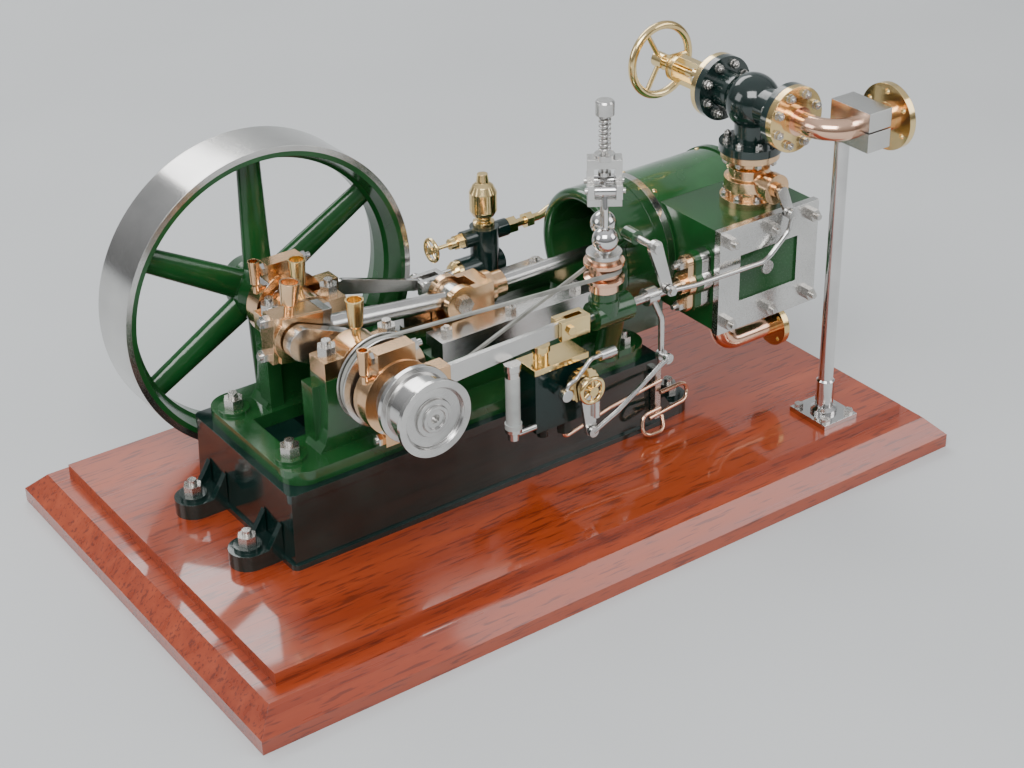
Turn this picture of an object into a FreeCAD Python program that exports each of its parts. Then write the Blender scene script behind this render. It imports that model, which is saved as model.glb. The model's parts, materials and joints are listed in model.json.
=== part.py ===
import FreeCAD, Part
import math
import os
import re

import Sketcher
from FreeCAD import Placement, Rotation, Vector

# Horizontal mill engine on a moulded wooden plinth.
# +X runs from the crank to the cylinder, +Y from the valve side to the flywheel side, +Z is up.
# The origin is the middle of the plinth's underside.  All sizes are millimetres.

DIMENSIONS = [
    # plinth
    ("plinth_length", 456.0, "plinth, overall length"),
    ("plinth_width", 274.0, "plinth, overall width"),
    ("plinth_top", 26.4, "top of the raised panel"),
    ("plinth_bevel", 10.6, "bevel round the lower board"),
    ("panel_length", 416.0, "raised panel, length"),
    ("panel_width", 234.0, "raised panel, width"),
    ("panel_height", 7.6, "raised panel, height"),
    # box base and engine bed
    ("engine_y", 3.0, "engine centre line"),
    ("base_left", -157.0, "box base, crank end"),
    ("base_right", 84.0, "box base, cylinder end"),
    ("base_width", 104.8, "box base, width"),
    ("base_top", 70.6, "top of the box base"),
    ("lug_radius", 10.5, "holding-down lug, radius"),
    ("lug_height", 9.0, "holding-down lug, thickness"),
    ("lug_reach", 15.0, "lug centre beyond the box"),
    ("lug_pitch", 60.0, "lugs at the crank end, spacing"),
    ("bed_inset", 4.0, "bed flange inside the box edge"),
    ("bed_flange", 8.0, "bed flange, thickness"),
    ("bed_corner", 14.0, "bed flange, corner radius"),
    ("table_top", 98.0, "guide table height"),
    ("table_left", -47.0, "guide table, crank end"),
    ("table_half", 29.0, "guide table, half width"),
    ("pit_half", 18.0, "crank pit, half width"),
    ("trunk_left", 70.0, "trunk mouth"),
    ("trunk_right", 99.0, "trunk, cylinder face"),
    ("trunk_radius", 38.0, "trunk, outer radius"),
    ("trunk_bore", 31.0, "trunk, inner radius"),
    # crank, flywheel and pulleys
    ("crank_x", -99.0, "crankshaft axis"),
    ("crank_z", 119.0, "crankshaft and cylinder axis height"),
    ("crank_throw", 25.4, "crank radius, half the stroke"),
    ("crank_angle", 27.0, "crank above the outer dead centre"),
    ("shaft_radius", 6.0, "crankshaft journal"),
    ("bearing_offset", 29.0, "main bearing from the centre line"),
    ("bearing_half", 8.0, "pedestal, half thickness"),
    ("bush_radius", 9.5, "main bearing bush, outside"),
    ("stud_offset", 18.0, "bearing cap stud from the shaft"),
    ("cap_half", 24.0, "bearing cap, half length"),
    ("web_inner", 9.0, "crank web, inner face"),
    ("web_thick", 7.0, "crank web, thickness"),
    ("web_tip", 9.2, "crank web, tip radius"),
    ("web_hub", 11.0, "crank web, hub radius"),
    ("wheel_face", 61.0, "flywheel, near face"),
    ("wheel_width", 33.0, "flywheel, rim width"),
    ("wheel_radius", 88.0, "flywheel, radius"),
    ("wheel_rim", 7.0, "flywheel, rim thickness"),
    ("wheel_hub", 17.0, "flywheel, hub radius"),
    ("spoke_wide", 8.5, "spoke at the hub, half width"),
    ("spoke_tip", 6.8, "spoke at the rim, half width"),
    ("spoke_thick", 5.2, "spoke, half thickness"),
    ("governor_groove_y", -49.0, "governor drive pulley, middle"),
    ("governor_drive_radius", 24.6, "governor drive pulley, radius"),
    ("groove_depth", 2.2, "belt groove, depth"),
    ("pulley_face", -98.0, "output pulley, near face"),
    ("pulley_width", 20.0, "output pulley, width"),
    ("pulley_radius", 20.8, "output pulley, flange radius"),
    ("pulley_barrel", 18.0, "output pulley, barrel radius"),
    # valve gear and pump drive
    ("eccentric_throw", 3.0, "eccentric offset"),
    ("sheave_radius", 14.0, "eccentric sheave, radius"),
    ("strap_radius", 20.5, "eccentric strap, radius"),
    ("strap_half", 5.5, "eccentric strap, half width"),
    ("valve_y", -60.0, "valve gear line"),
    ("pump_y", 49.0, "feed pump line"),
    ("pump_z", 106.0, "feed pump ram height"),
    ("spindle_radius", 2.6, "valve spindle"),
    ("valve_pin_x", 8.0, "valve rod pin"),
    # connecting rod and crosshead
    ("rod_length", 102.0, "connecting rod, centre to centre"),
    ("rod_radius", 4.6, "connecting rod, radius at the small end"),
    ("rod_swell", 5.8, "connecting rod, radius at the big end"),
    ("pin_radius", 7.0, "crankpin"),
    ("big_end_half", 7.6, "big end, half width"),
    ("crosshead_half", 10.0, "crosshead, half width"),
    ("fork_half", 5.8, "crosshead fork, half gap"),
    ("bar_gap", 11.0, "slide bars, half gap"),
    ("bar_outer", 27.0, "slide bars, outer edge from the centre line"),
    ("bar_thick", 7.0, "slide bar, thickness"),
    ("bar_rise", 6.0, "spacer under each slide bar"),
    ("bar_right", 56.0, "slide bars, cylinder end"),
    ("slipper_length", 34.0, "slipper, length"),
    ("piston_rod", 4.0, "piston rod, radius"),
    # cylinder and steam chest
    ("cylinder_right", 169.0, "cylinder, rear face"),
    ("bore_radius", 22.2, "cylinder bore"),
    ("barrel_radius", 28.0, "cylinder barrel, outside"),
    ("flange_radius", 38.4, "cylinder flange"),
    ("lagging_radius", 37.4, "lagging, outside"),
    ("chest_left", 105.0, "steam chest, crank side"),
    ("chest_right", 175.0, "steam chest, rear side"),
    ("chest_low", 88.0, "steam chest, underside"),
    ("chest_high", 149.0, "steam chest, top"),
    ("chest_face", -68.0, "steam chest, joint face"),
    ("cover_thick", 4.6, "steam chest cover"),
    # steam inlet
    ("steam_x", 146.0, "stop valve line"),
    ("steam_y", -47.0, "stop valve line"),
    ("steam_z", 208.0, "stop valve height"),
    ("pipe_radius", 6.0, "steam pipe"),
    ("pipe_y", -108.0, "steam pipe, run to the inlet"),
    ("inlet_x", 190.0, "inlet flange face"),
    ("pipe_flange", 18.4, "steam flange, radius"),
    ("pillar_x", 165.0, "pipe support pillar"),
    ("pillar_y", -98.0, "pipe support pillar"),
    # governor
    ("governor_x", 34.0, "governor axis"),
    ("governor_y", -60.0, "governor axis"),
    ("governor_seat", 128.0, "top of the governor bracket"),
    ("ball_radius", 7.0, "governor ball"),
]

document = FreeCAD.newDocument("MillEngine")
sheet = document.addObject("Spreadsheet::Sheet", "Dim")
for row, (alias, value, note) in enumerate(DIMENSIONS, start=1):
    sheet.set(f"A{row}", note)
    sheet.set(f"B{row}", str(value))
    sheet.setAlias(f"B{row}", alias)
document.recompute()

SIZES = {alias: value for alias, value, note in DIMENSIONS}
TURN_TO = {
    "x": Rotation(Vector(0, 1, 0), 90),
    "y": Rotation(Vector(1, 0, 0), -90),
    "z": Rotation(),
}
ORIGIN = ("0", "0", "0")
nodes = {}


def formula(text):
    """A size written with sheet names, as an expression FreeCAD can follow."""
    return re.sub(r"[a-z][a-z_]*", lambda word: name_in_sheet(word.group(0)), str(text))


def name_in_sheet(word):
    return f"Dim.{word}" if word in SIZES else word


def value_of(text):
    """The present value of a formula."""
    return float(sheet.evalExpression(formula(text)))


def bind(thing, **sizes):
    for name, text in sizes.items():
        thing.setExpression(name, formula(text))
    return thing


def move(thing, at, turn=None):
    """Stand a feature at a point given by formulas."""
    thing.Placement = Placement(Vector(), turn or thing.Placement.Rotation)
    for letter, text in zip("xyz", at):
        thing.setExpression(f"Placement.Base.{letter}", formula(text))
    return thing


def add(kind, name="Piece"):
    return document.addObject(kind, name)


def cylinder(radius, length, at=ORIGIN, axis="z"):
    return move(bind(add("Part::Cylinder"), Radius=radius, Height=length), at, TURN_TO[axis])


def cone(radius_1, radius_2, length, at=ORIGIN, axis="z"):
    piece = bind(add("Part::Cone"), Radius1=radius_1, Radius2=radius_2, Height=length)
    return move(piece, at, TURN_TO[axis])


def ball(radius, at=ORIGIN):
    return move(bind(add("Part::Sphere"), Radius=radius), at)


def torus(radius, section, at=ORIGIN, axis="z"):
    return move(bind(add("Part::Torus"), Radius1=radius, Radius2=section), at, TURN_TO[axis])


def box(length, width, height, at=ORIGIN):
    return move(bind(add("Part::Box"), Length=length, Width=width, Height=height), at)


def hexagon(flats, length, at=ORIGIN, axis="z"):
    piece = bind(add("Part::Prism"), Circumradius=f"({flats}) * 0.57735", Height=length)
    piece.Polygon = 6
    return move(piece, at, TURN_TO[axis])


def fuse(*pieces):
    whole = add("Part::MultiFuse")
    whole.Shapes = list(pieces)
    whole.Refine = True
    return whole


def join(first, second):
    whole = add("Part::Fuse")
    whole.Base = first
    whole.Tool = second
    return whole


def group(*pieces):
    """Separate solids kept in one feature."""
    whole = add("Part::Compound")
    whole.Links = list(pieces)
    return whole


def cut(base, *tools):
    whole = add("Part::Cut")
    whole.Base = base
    whole.Tool = tools[0] if len(tools) == 1 else fuse(*tools)
    whole.Refine = True
    return whole


def mirror_y(piece, plane_y="engine_y"):
    """The piece's twin on the other side of a plane across Y."""
    twin = add("Part::Mirroring")
    twin.Source = piece
    twin.Normal = Vector(0, 1, 0)
    twin.setExpression("Base.y", formula(plane_y))
    return twin


def both_sides(piece, plane_y="engine_y"):
    return [piece, mirror_y(piece, plane_y)]


def origin_plane(body, role):
    return next(item for item in body.Origin.OriginFeatures if item.Role == role)


def dimension(sketch, kind, geometry, corner, text):
    constraint = Sketcher.Constraint(kind, -1, 1, geometry, corner, value_of(text))
    number = sketch.addConstraint(constraint)
    sketch.setExpression(f"Constraints[{number}]", formula(text))


def outline(body, role, points, holes=()):
    """A closed outline of straight lines, each corner dimensioned from the sheet."""
    sketch = body.newObject("Sketcher::SketchObject", "Outline")
    sketch.AttachmentSupport = [(origin_plane(body, role), "")]
    sketch.MapMode = "FlatFace"
    spots = [Vector(value_of(across), value_of(up), 0) for across, up in points]
    count = len(spots)
    for number, spot in enumerate(spots):
        sketch.addGeometry(Part.LineSegment(spot, spots[(number + 1) % count]), False)
    for number in range(count):
        joint = Sketcher.Constraint("Coincident", number, 2, (number + 1) % count, 1)
        sketch.addConstraint(joint)
    for number, (across, up) in enumerate(points):
        dimension(sketch, "DistanceX", number, 1, across)
        dimension(sketch, "DistanceY", number, 1, up)
    for across, up, radius in holes:
        centre = Vector(value_of(across), value_of(up), 0)
        ring = sketch.addGeometry(Part.Circle(centre, Vector(0, 0, 1), value_of(radius)), False)
        dimension(sketch, "DistanceX", ring, 3, across)
        dimension(sketch, "DistanceY", ring, 3, up)
        number = sketch.addConstraint(Sketcher.Constraint("Radius", ring, value_of(radius)))
        sketch.setExpression(f"Constraints[{number}]", formula(radius))
    return sketch


def turned(profile, at=ORIGIN, axis="z"):
    """A lathe-turned piece: the profile lists (along the axis, radius)."""
    body = add("PartDesign::Body", "Turned")
    swap = axis == "x"
    points = [(along, radius) if swap else (radius, along) for along, radius in profile]
    sketch = outline(body, "XY_Plane" if axis == "y" else "XZ_Plane", points)
    spin = body.newObject("PartDesign::Revolution", "Spin")
    spin.Profile = sketch
    spin.ReferenceAxis = (sketch, ["H_Axis" if swap else "V_Axis"])
    spin.Angle = 360
    return move(body, at)


def plate(points, thickness, at=ORIGIN, axis="y", holes=()):
    """A flat piece cut to an outline and centred on its plane; the plane is across the axis."""
    body = add("PartDesign::Body", "Plate")
    role = {"x": "YZ_Plane", "y": "XZ_Plane", "z": "XY_Plane"}[axis]
    sketch = outline(body, role, points, holes)
    pad = body.newObject("PartDesign::Pad", "Pad")
    pad.Profile = sketch
    pad.Midplane = True
    bind(pad, Length=thickness)
    return move(body, at)


def loft(*sections):
    whole = add("Part::Loft")
    whole.Sections = list(sections)
    whole.Solid = True
    whole.Ruled = len(sections) == 2
    return whole


def circle(radius, at=ORIGIN, axis="z"):
    return move(bind(add("Part::Circle"), Radius=radius), at, TURN_TO[axis])


def lever(point_1, point_2, radius_1, radius_2, thickness, y_middle):
    """A flat lever across Y with rounded ends, from one (x, z) point to another."""
    (x_1, z_1), (x_2, z_2) = point_1, point_2
    across = math.atan2(value_of(z_2) - value_of(z_1), value_of(x_2) - value_of(x_1))
    side_x, side_z = -math.sin(across), math.cos(across)
    edge = f"({y_middle}) - ({thickness}) / 2"
    arm = plate(
        [
            (f"{x_1} + {side_x * value_of(radius_1):.4f}", f"{z_1} + {side_z * value_of(radius_1):.4f}"),
            (f"{x_2} + {side_x * value_of(radius_2):.4f}", f"{z_2} + {side_z * value_of(radius_2):.4f}"),
            (f"{x_2} - {side_x * value_of(radius_2):.4f}", f"{z_2} - {side_z * value_of(radius_2):.4f}"),
            (f"{x_1} - {side_x * value_of(radius_1):.4f}", f"{z_1} - {side_z * value_of(radius_1):.4f}"),
        ],
        thickness,
        ("0", y_middle, "0"),
    )
    end_1 = cylinder(radius_1, thickness, (x_1, edge, z_1), "y")
    end_2 = cylinder(radius_2, thickness, (x_2, edge, z_2), "y")
    return join(join(arm, end_1), end_2)


def pipe(points, radius, bend):
    """Round pipe or bent rod: straight runs through the points, joined by tangent arcs."""
    corners = [Vector(*(value_of(text) for text in point)) for point in points]
    bends = bend if isinstance(bend, (list, tuple)) else [bend] * (len(corners) - 2)
    edges = []
    start = corners[0]
    for before, corner, after, arc_radius in zip(corners, corners[1:], corners[2:], bends):
        inward = (before - corner).normalize()
        outward = (after - corner).normalize()
        half = inward.getAngle(outward) / 2
        reach = value_of(arc_radius) / math.tan(half)
        middle = (inward + outward).normalize()
        middle = corner + middle * (value_of(arc_radius) / math.sin(half) - value_of(arc_radius))
        first, last = corner + inward * reach, corner + outward * reach
        edges.append(Part.LineSegment(start, first).toShape())
        edges.append(Part.Arc(first, middle, last).toShape())
        start = last
    edges.append(Part.LineSegment(start, corners[-1]).toShape())
    route = add("Part::Feature", "Route")
    route.Shape = Part.Wire(edges)
    ring = bind(add("Part::Circle", "Bore"), Radius=radius)
    ring.Placement = Placement(corners[0], Rotation(Vector(0, 0, 1), corners[1] - corners[0]))
    swept = add("Part::Sweep", "Pipe")
    swept.Sections = [ring]
    swept.Spine = (route, [f"Edge{number + 1}" for number in range(len(edges))])
    swept.Solid = True
    swept.Frenet = False
    swept.Transition = "Transformed"
    return swept


def stud(flats, nut, reach, at, axis="z", sense=1):
    """A hexagon nut with the rounded end of its stud standing out of it."""
    spot = {"x": 0, "y": 1, "z": 2}[axis]
    low = list(at)
    if sense < 0:
        low[spot] = f"{at[spot]} - {nut}"
    body = hexagon(flats, nut, low, axis)
    tip = list(at)
    tip[spot] = at[spot] if sense > 0 else f"{at[spot]} - {nut} - {reach}"
    end = cylinder(f"{flats} * 0.27", f"{nut} + {reach}", tip, axis)
    return fuse(body, end)


def node(label, piece):
    """One sub-part of the engine, under the name its file gets."""
    piece.Label = label
    nodes[label] = piece
    return piece


def frustum(length_1, width_1, length_2, width_2, height, at):
    """A straight-sided block that tapers upward, centred on a point of its base."""
    piece = add("Part::Wedge")
    bind(
        piece,
        Xmin=f"-({length_1}) / 2",
        Xmax=f"({length_1}) / 2",
        Ymin="0",
        Ymax=height,
        Zmin=f"-({width_1}) / 2",
        Zmax=f"({width_1}) / 2",
        X2min=f"-({length_2}) / 2",
        X2max=f"({length_2}) / 2",
        Z2min=f"-({width_2}) / 2",
        Z2max=f"({width_2}) / 2",
    )
    return move(piece, at, Rotation(Vector(1, 0, 0), 90))


def slab(left, right, near, far, low, high, corner):
    """A flat plate with rounded corners."""
    pieces = [
        box(f"{right} - ({left}) - 2 * {corner}", f"{far} - ({near})", f"{high} - ({low})",
            (f"{left} + {corner}", near, low)),
        box(f"{right} - ({left})", f"{far} - ({near}) - 2 * {corner}", f"{high} - ({low})",
            (left, f"{near} + {corner}", low)),
    ]
    for x in (f"{left} + {corner}", f"{right} - {corner}"):
        for y in (f"{near} + {corner}", f"{far} - {corner}"):
            pieces.append(cylinder(corner, f"{high} - ({low})", (x, y, low)))
    return fuse(*pieces)


def between(left, right, near, far, low, high):
    """A square block given by its six faces."""
    return box(f"{right} - ({left})", f"{far} - ({near})", f"{high} - ({low})", (left, near, low))


def oil_cup(x, y, z, radius, height):
    """A turned lubricator cup on its stem, open at the top."""
    return turned(
        [
            ("0", "0"),
            ("0", f"{radius} * 0.5"),
            (f"{height} * 0.22", f"{radius} * 0.5"),
            (f"{height} * 0.3", f"{radius} * 0.84"),
            (height, f"{radius} * 1.06"),
            (height, f"{radius} - 0.7"),
            (f"{height} - 4", f"{radius} - 0.8"),
            (f"{height} - 4", "0"),
        ],
        (x, y, z),
    )


PIN_X = "crank_x - crank_throw * cos(crank_angle)"
PIN_Z = "crank_z + crank_throw * sin(crank_angle)"
ROD_DROP = "crank_throw * sin(crank_angle)"
WRIST_X = f"{PIN_X} + sqrt(rod_length * rod_length - ({ROD_DROP}) * ({ROD_DROP}))"
NEAR = "engine_y - bearing_offset"
FAR = "engine_y + bearing_offset"


# ---- plinth and box base ----

def make_plinth():
    """Wooden plinth: a lower board with a square edge and a wide bevel, and a raised panel."""
    edge = "plinth_top - panel_height - plinth_bevel"
    board = box("plinth_length", "plinth_width", edge, ("-plinth_length / 2", "-plinth_width / 2", "0"))
    bevel = frustum(
        "plinth_length",
        "plinth_width",
        "plinth_length - 2 * plinth_bevel",
        "plinth_width - 2 * plinth_bevel",
        "plinth_bevel",
        ("0", "0", edge),
    )
    panel = box(
        "panel_length",
        "panel_width",
        "panel_height",
        ("-panel_length / 2", "-panel_width / 2", "plinth_top - panel_height"),
    )
    node("plinth", fuse(board, bevel, panel))


LUGS = [
    ("base_left", -1, "engine_y - lug_pitch / 2"),
    ("base_left", -1, "engine_y + lug_pitch / 2"),
    ("base_right", 1, "engine_y - lug_pitch / 2 - 10"),
    ("base_right", 1, "engine_y + lug_pitch / 2 + 10"),
]


def lug_spot(end, side, y):
    return (f"{end} {'+' if side > 0 else '-'} lug_reach", y)


def make_base():
    """Cast box base: drafted walls, a top lip and four gusseted holding-down lugs."""
    middle = "(base_left + base_right) / 2"
    length = "base_right - base_left"
    body = frustum(
        length,
        "base_width",
        f"{length} - 3",
        "base_width - 3",
        "base_top - plinth_top",
        (middle, "engine_y", "plinth_top"),
    )
    lip = slab(
        "base_left",
        "base_right",
        "engine_y - base_width / 2",
        "engine_y + base_width / 2",
        "base_top - 5",
        "base_top",
        "4",
    )
    foot = slab(
        "base_left - 1.5",
        "base_right + 1.5",
        "engine_y - base_width / 2 - 1.5",
        "engine_y + base_width / 2 + 1.5",
        "plinth_top",
        "plinth_top + 3",
        "4",
    )
    pieces = [body, lip, foot]
    for end, side, y in LUGS:
        x = lug_spot(end, side, y)[0]
        inner = end if side > 0 else x
        pieces.append(cylinder("lug_radius", "lug_height", (x, y, "plinth_top")))
        pieces.append(cylinder("7.5", "lug_height + 2", (x, y, "plinth_top")))
        pieces.append(box("lug_reach", "lug_radius * 2", "lug_height", (inner, f"{y} - lug_radius", "plinth_top")))
        for edge in ("-lug_radius", "lug_radius - 3.5"):
            gusset = plate(
                [("0", "0"), ("9", "0"), ("7", "3"), ("3", "9"), ("0", "14")],
                "3.5",
                ("0", "0", "0"),
            )
            flip = Rotation() if side > 0 else Rotation(Vector(0, 0, 1), 180)
            move(gusset, (end, f"{y} + {edge} + 1.75", "plinth_top + lug_height - 1"), flip)
            pieces.append(gusset)
    pit = between("-116", "-54", "engine_y - 15", "engine_y + 15", "base_top - 30", "base_top + 1")
    node("sub_base", cut(fuse(*pieces), pit))


# ---- engine bed ----

def make_bed():
    """Green bed: flange, bearing pedestals, notched end wall, guide table and open trunk."""
    edge = "base_width / 2 - bed_inset"
    floor = "base_top + bed_flange"
    flange = slab(
        "base_left + bed_inset",
        "base_right - bed_inset",
        f"engine_y - ({edge})",
        f"engine_y + {edge}",
        "base_top",
        floor,
        "bed_corner",
    )
    pieces = [flange]
    for y in (NEAR, FAR):
        pieces.append(
            plate(
                [
                    ("crank_x - 31", f"{floor} - 1"),
                    ("crank_x - 27", f"{floor} + 4"),
                    ("crank_x - 25", f"{floor} + 12"),
                    ("crank_x - cap_half", f"{floor} + 22"),
                    ("crank_x - cap_half", "crank_z"),
                    ("crank_x + cap_half", "crank_z"),
                    ("crank_x + cap_half", f"{floor} + 24"),
                    ("crank_x + 28", f"{floor} + 15"),
                    ("crank_x + 38", f"{floor} + 9"),
                    ("table_left + 2", f"{floor} + 8"),
                    ("table_left + 2", f"{floor} - 1"),
                ],
                "2 * bearing_half",
                ("0", y, "0"),
            )
        )
    wall = between(
        "crank_x - 28",
        "crank_x - 20",
        "engine_y - bearing_offset",
        "engine_y + bearing_offset",
        floor,
        "crank_z - 6",
    )
    table = between(
        "table_left",
        "trunk_left",
        "engine_y - table_half",
        "engine_y + table_half",
        floor,
        "table_top",
    )
    pieces += [wall, table]
    for x in ("base_left + 14", "base_right - 16"):
        for y in ("engine_y - lug_pitch / 2", "engine_y + lug_pitch / 2"):
            pieces.append(cylinder("8.5", "bed_flange + 2", (x, y, "base_top")))
    cheek = "trunk_radius - 4"
    pieces.append(
        between("trunk_left - 8", "trunk_right", f"engine_y - ({cheek})", f"engine_y + {cheek}", floor, "crank_z - 16")
    )
    pieces.append(cylinder("trunk_radius", "trunk_right - trunk_left", ("trunk_left", "engine_y", "crank_z"), "x"))
    pieces.append(torus("trunk_radius - 3.4", "3.6", ("trunk_left", "engine_y", "crank_z"), "x"))
    pieces.append(cylinder("trunk_radius + 0.4", "6", ("trunk_right - 6", "engine_y", "crank_z"), "x"))
    holes = [
        cylinder("trunk_bore", "60", ("trunk_right - 41", "engine_y", "crank_z"), "x"),
        between("crank_x - 41", "crank_x + 45", "engine_y - 15", "engine_y + 15", "base_top - 1", "crank_z"),
        between("crank_x - 30", "table_left - 0", "engine_y - pit_half", "engine_y + pit_half", floor, "crank_z + 9"),
        between("table_left - 1", "trunk_left", "engine_y - 6.6", "engine_y + 6.6", "table_top - 14", "table_top + 1"),
        cylinder("bush_radius", "2 * bearing_offset + 30", ("crank_x", "engine_y - bearing_offset - 15", "crank_z"), "y"),
    ]
    bed = cut(fuse(*pieces), *holes)
    arm = loft(
        circle("7", ("74", "engine_y - 31", "crank_z + 17")),
        circle("3.6", ("57", "engine_y - 57", "crank_z + 35.6")),
    )
    node("engine_bed", bed)
    return arm


def make_bearings():
    """Bronze main bearing: flanged bush under a crowned cap, with an oil cup on the crown."""
    for label, y in (("near_bearing", NEAR), ("far_bearing", FAR)):
        width = "2 * bearing_half - 1"
        edge = f"{y} - ({width}) / 2"
        lugs = box("2 * cap_half", width, "10", ("crank_x - cap_half", edge, "crank_z"))
        crown = cylinder("16.1", width, ("crank_x", edge, "crank_z"), "y")
        below = box("60", "40", "30", ("crank_x - 30", f"{y} - 20", "crank_z - 30"))
        bush = turned(
            [
                ("-10", "shaft_radius + 0.05"),
                ("-10", "12.5"),
                ("-8", "12.5"),
                ("-8", "bush_radius"),
                ("8", "bush_radius"),
                ("8", "12.5"),
                ("10", "12.5"),
                ("10", "shaft_radius + 0.05"),
            ],
            ("crank_x", y, "crank_z"),
            "y",
        )
        bore = cylinder("shaft_radius + 0.05", "40", ("crank_x", f"{y} - 20", "crank_z"), "y")
        cup = oil_cup("crank_x", y, "crank_z + 15.6", "4.6", "20.5")
        node(label, cut(fuse(cut(fuse(lugs, crown), below), bush, cup), bore))


# ---- crankshaft, flywheel and pulleys ----

def make_crankshaft():
    """Two half shafts joined to their webs; the eccentric sheaves are turned on the shaft."""
    pieces = []
    for side in (-1, 1):
        middle = f"engine_y + {side} * (web_inner + web_thick / 2)"
        pieces.append(lever(("crank_x", "crank_z"), (PIN_X, PIN_Z), "web_hub", "web_tip", "web_thick", middle))
    near_end = "pulley_face + 3"
    near_web = "engine_y - web_inner - web_thick"
    far_web = "engine_y + web_inner + web_thick"
    far_end = "wheel_face + wheel_width + 4"
    pieces += [
        cylinder("shaft_radius", f"{near_web} - ({near_end})", ("crank_x", near_end, "crank_z"), "y"),
        cylinder("shaft_radius", f"{far_end} - ({far_web})", ("crank_x", far_web, "crank_z"), "y"),
        cylinder("8.5", "2.6", ("crank_x", f"{near_web} - 2.6", "crank_z"), "y"),
        cylinder("8.5", "2.6", ("crank_x", far_web, "crank_z"), "y"),
    ]
    for y, offset in (("valve_y", "-eccentric_throw"), ("pump_y", "eccentric_throw")):
        spot = ("crank_x", f"{y} - strap_half", f"crank_z + {offset}")
        pieces.append(cylinder("sheave_radius", "2 * strap_half", spot, "y"))
    node("crankshaft", fuse(*pieces))


def make_flywheel():
    """Six oval spokes between a keyed hub and a rim that is deepest where the spokes meet it."""
    rim = turned(
        [
            ("0", "wheel_radius"),
            ("wheel_width", "wheel_radius"),
            ("wheel_width", "wheel_radius - wheel_rim + 1"),
            ("wheel_width * 0.72", "wheel_radius - wheel_rim - 1.5"),
            ("wheel_width * 0.66", "wheel_radius - wheel_rim - 3.5"),
            ("wheel_width * 0.34", "wheel_radius - wheel_rim - 3.5"),
            ("wheel_width * 0.28", "wheel_radius - wheel_rim - 1.5"),
            ("0", "wheel_radius - wheel_rim + 1"),
        ],
        ("crank_x", "wheel_face", "crank_z"),
        "y",
    )
    hub = turned(
        [
            ("-1", "0"),
            ("-1", "wheel_hub - 3"),
            ("wheel_width * 0.3", "wheel_hub"),
            ("wheel_width * 0.7", "wheel_hub"),
            ("wheel_width + 1", "wheel_hub - 3"),
            ("wheel_width + 1", "0"),
        ],
        ("crank_x", "wheel_face", "crank_z"),
        "y",
    )
    spokes = [make_spoke(number * 60.0) for number in range(6)]
    bore = cylinder("shaft_radius", "wheel_width + 8", ("crank_x", "wheel_face - 4", "crank_z"), "y")
    node("flywheel", cut(fuse(rim, hub, *spokes), bore))


def make_spoke(angle):
    ends = []
    for reach, wide, thick in (
        ("wheel_hub - 4", "spoke_wide", "spoke_thick"),
        ("wheel_radius - wheel_rim - 1", "spoke_tip", "spoke_thick - 0.8"),
    ):
        end = bind(add("Part::Ellipse"), MajorRadius=wide, MinorRadius=thick)
        turn = Rotation(Vector(0, 1, 0), angle)
        spot = (
            f"crank_x + ({reach}) * sin({angle})",
            "wheel_face + wheel_width / 2",
            f"crank_z + ({reach}) * cos({angle})",
        )
        ends.append(move(end, spot, turn))
    return loft(*ends)


def make_pulleys():
    """Grooved governor drive and the double-flanged output pulley with a stepped face."""
    node(
        "governor_drive_pulley",
        turned(
            [
                ("-4.5", "shaft_radius"),
                ("-4.5", "9"),
                ("-3.6", "10"),
                ("-3.6", "governor_drive_radius"),
                ("-2.6", "governor_drive_radius"),
                ("-2.6", "governor_drive_radius - groove_depth"),
                ("2.6", "governor_drive_radius - groove_depth"),
                ("2.6", "governor_drive_radius"),
                ("3.6", "governor_drive_radius"),
                ("3.6", "10"),
                ("6", "9"),
                ("6", "shaft_radius"),
            ],
            ("crank_x", "governor_groove_y", "crank_z"),
            "y",
        ),
    )
    node(
        "output_pulley",
        turned(
            [
                ("0.4", "2.4"),
                ("0.4", "5"),
                ("-0.6", "5.4"),
                ("-0.6", "7"),
                ("0.8", "7.6"),
                ("0.8", "10"),
                ("2.4", "10.6"),
                ("2.4", "15.6"),
                ("0", "17"),
                ("0", "pulley_radius"),
                ("2.6", "pulley_radius"),
                ("3.4", "pulley_barrel"),
                ("pulley_width - 3.4", "pulley_barrel"),
                ("pulley_width - 2.6", "pulley_radius"),
                ("pulley_width", "pulley_radius"),
                ("pulley_width", "shaft_radius"),
                ("3", "shaft_radius"),
                ("3", "2.4"),
            ],
            ("crank_x", "pulley_face", "crank_z"),
            "y",
        ),
    )


# ---- connecting rod and crosshead ----

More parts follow.
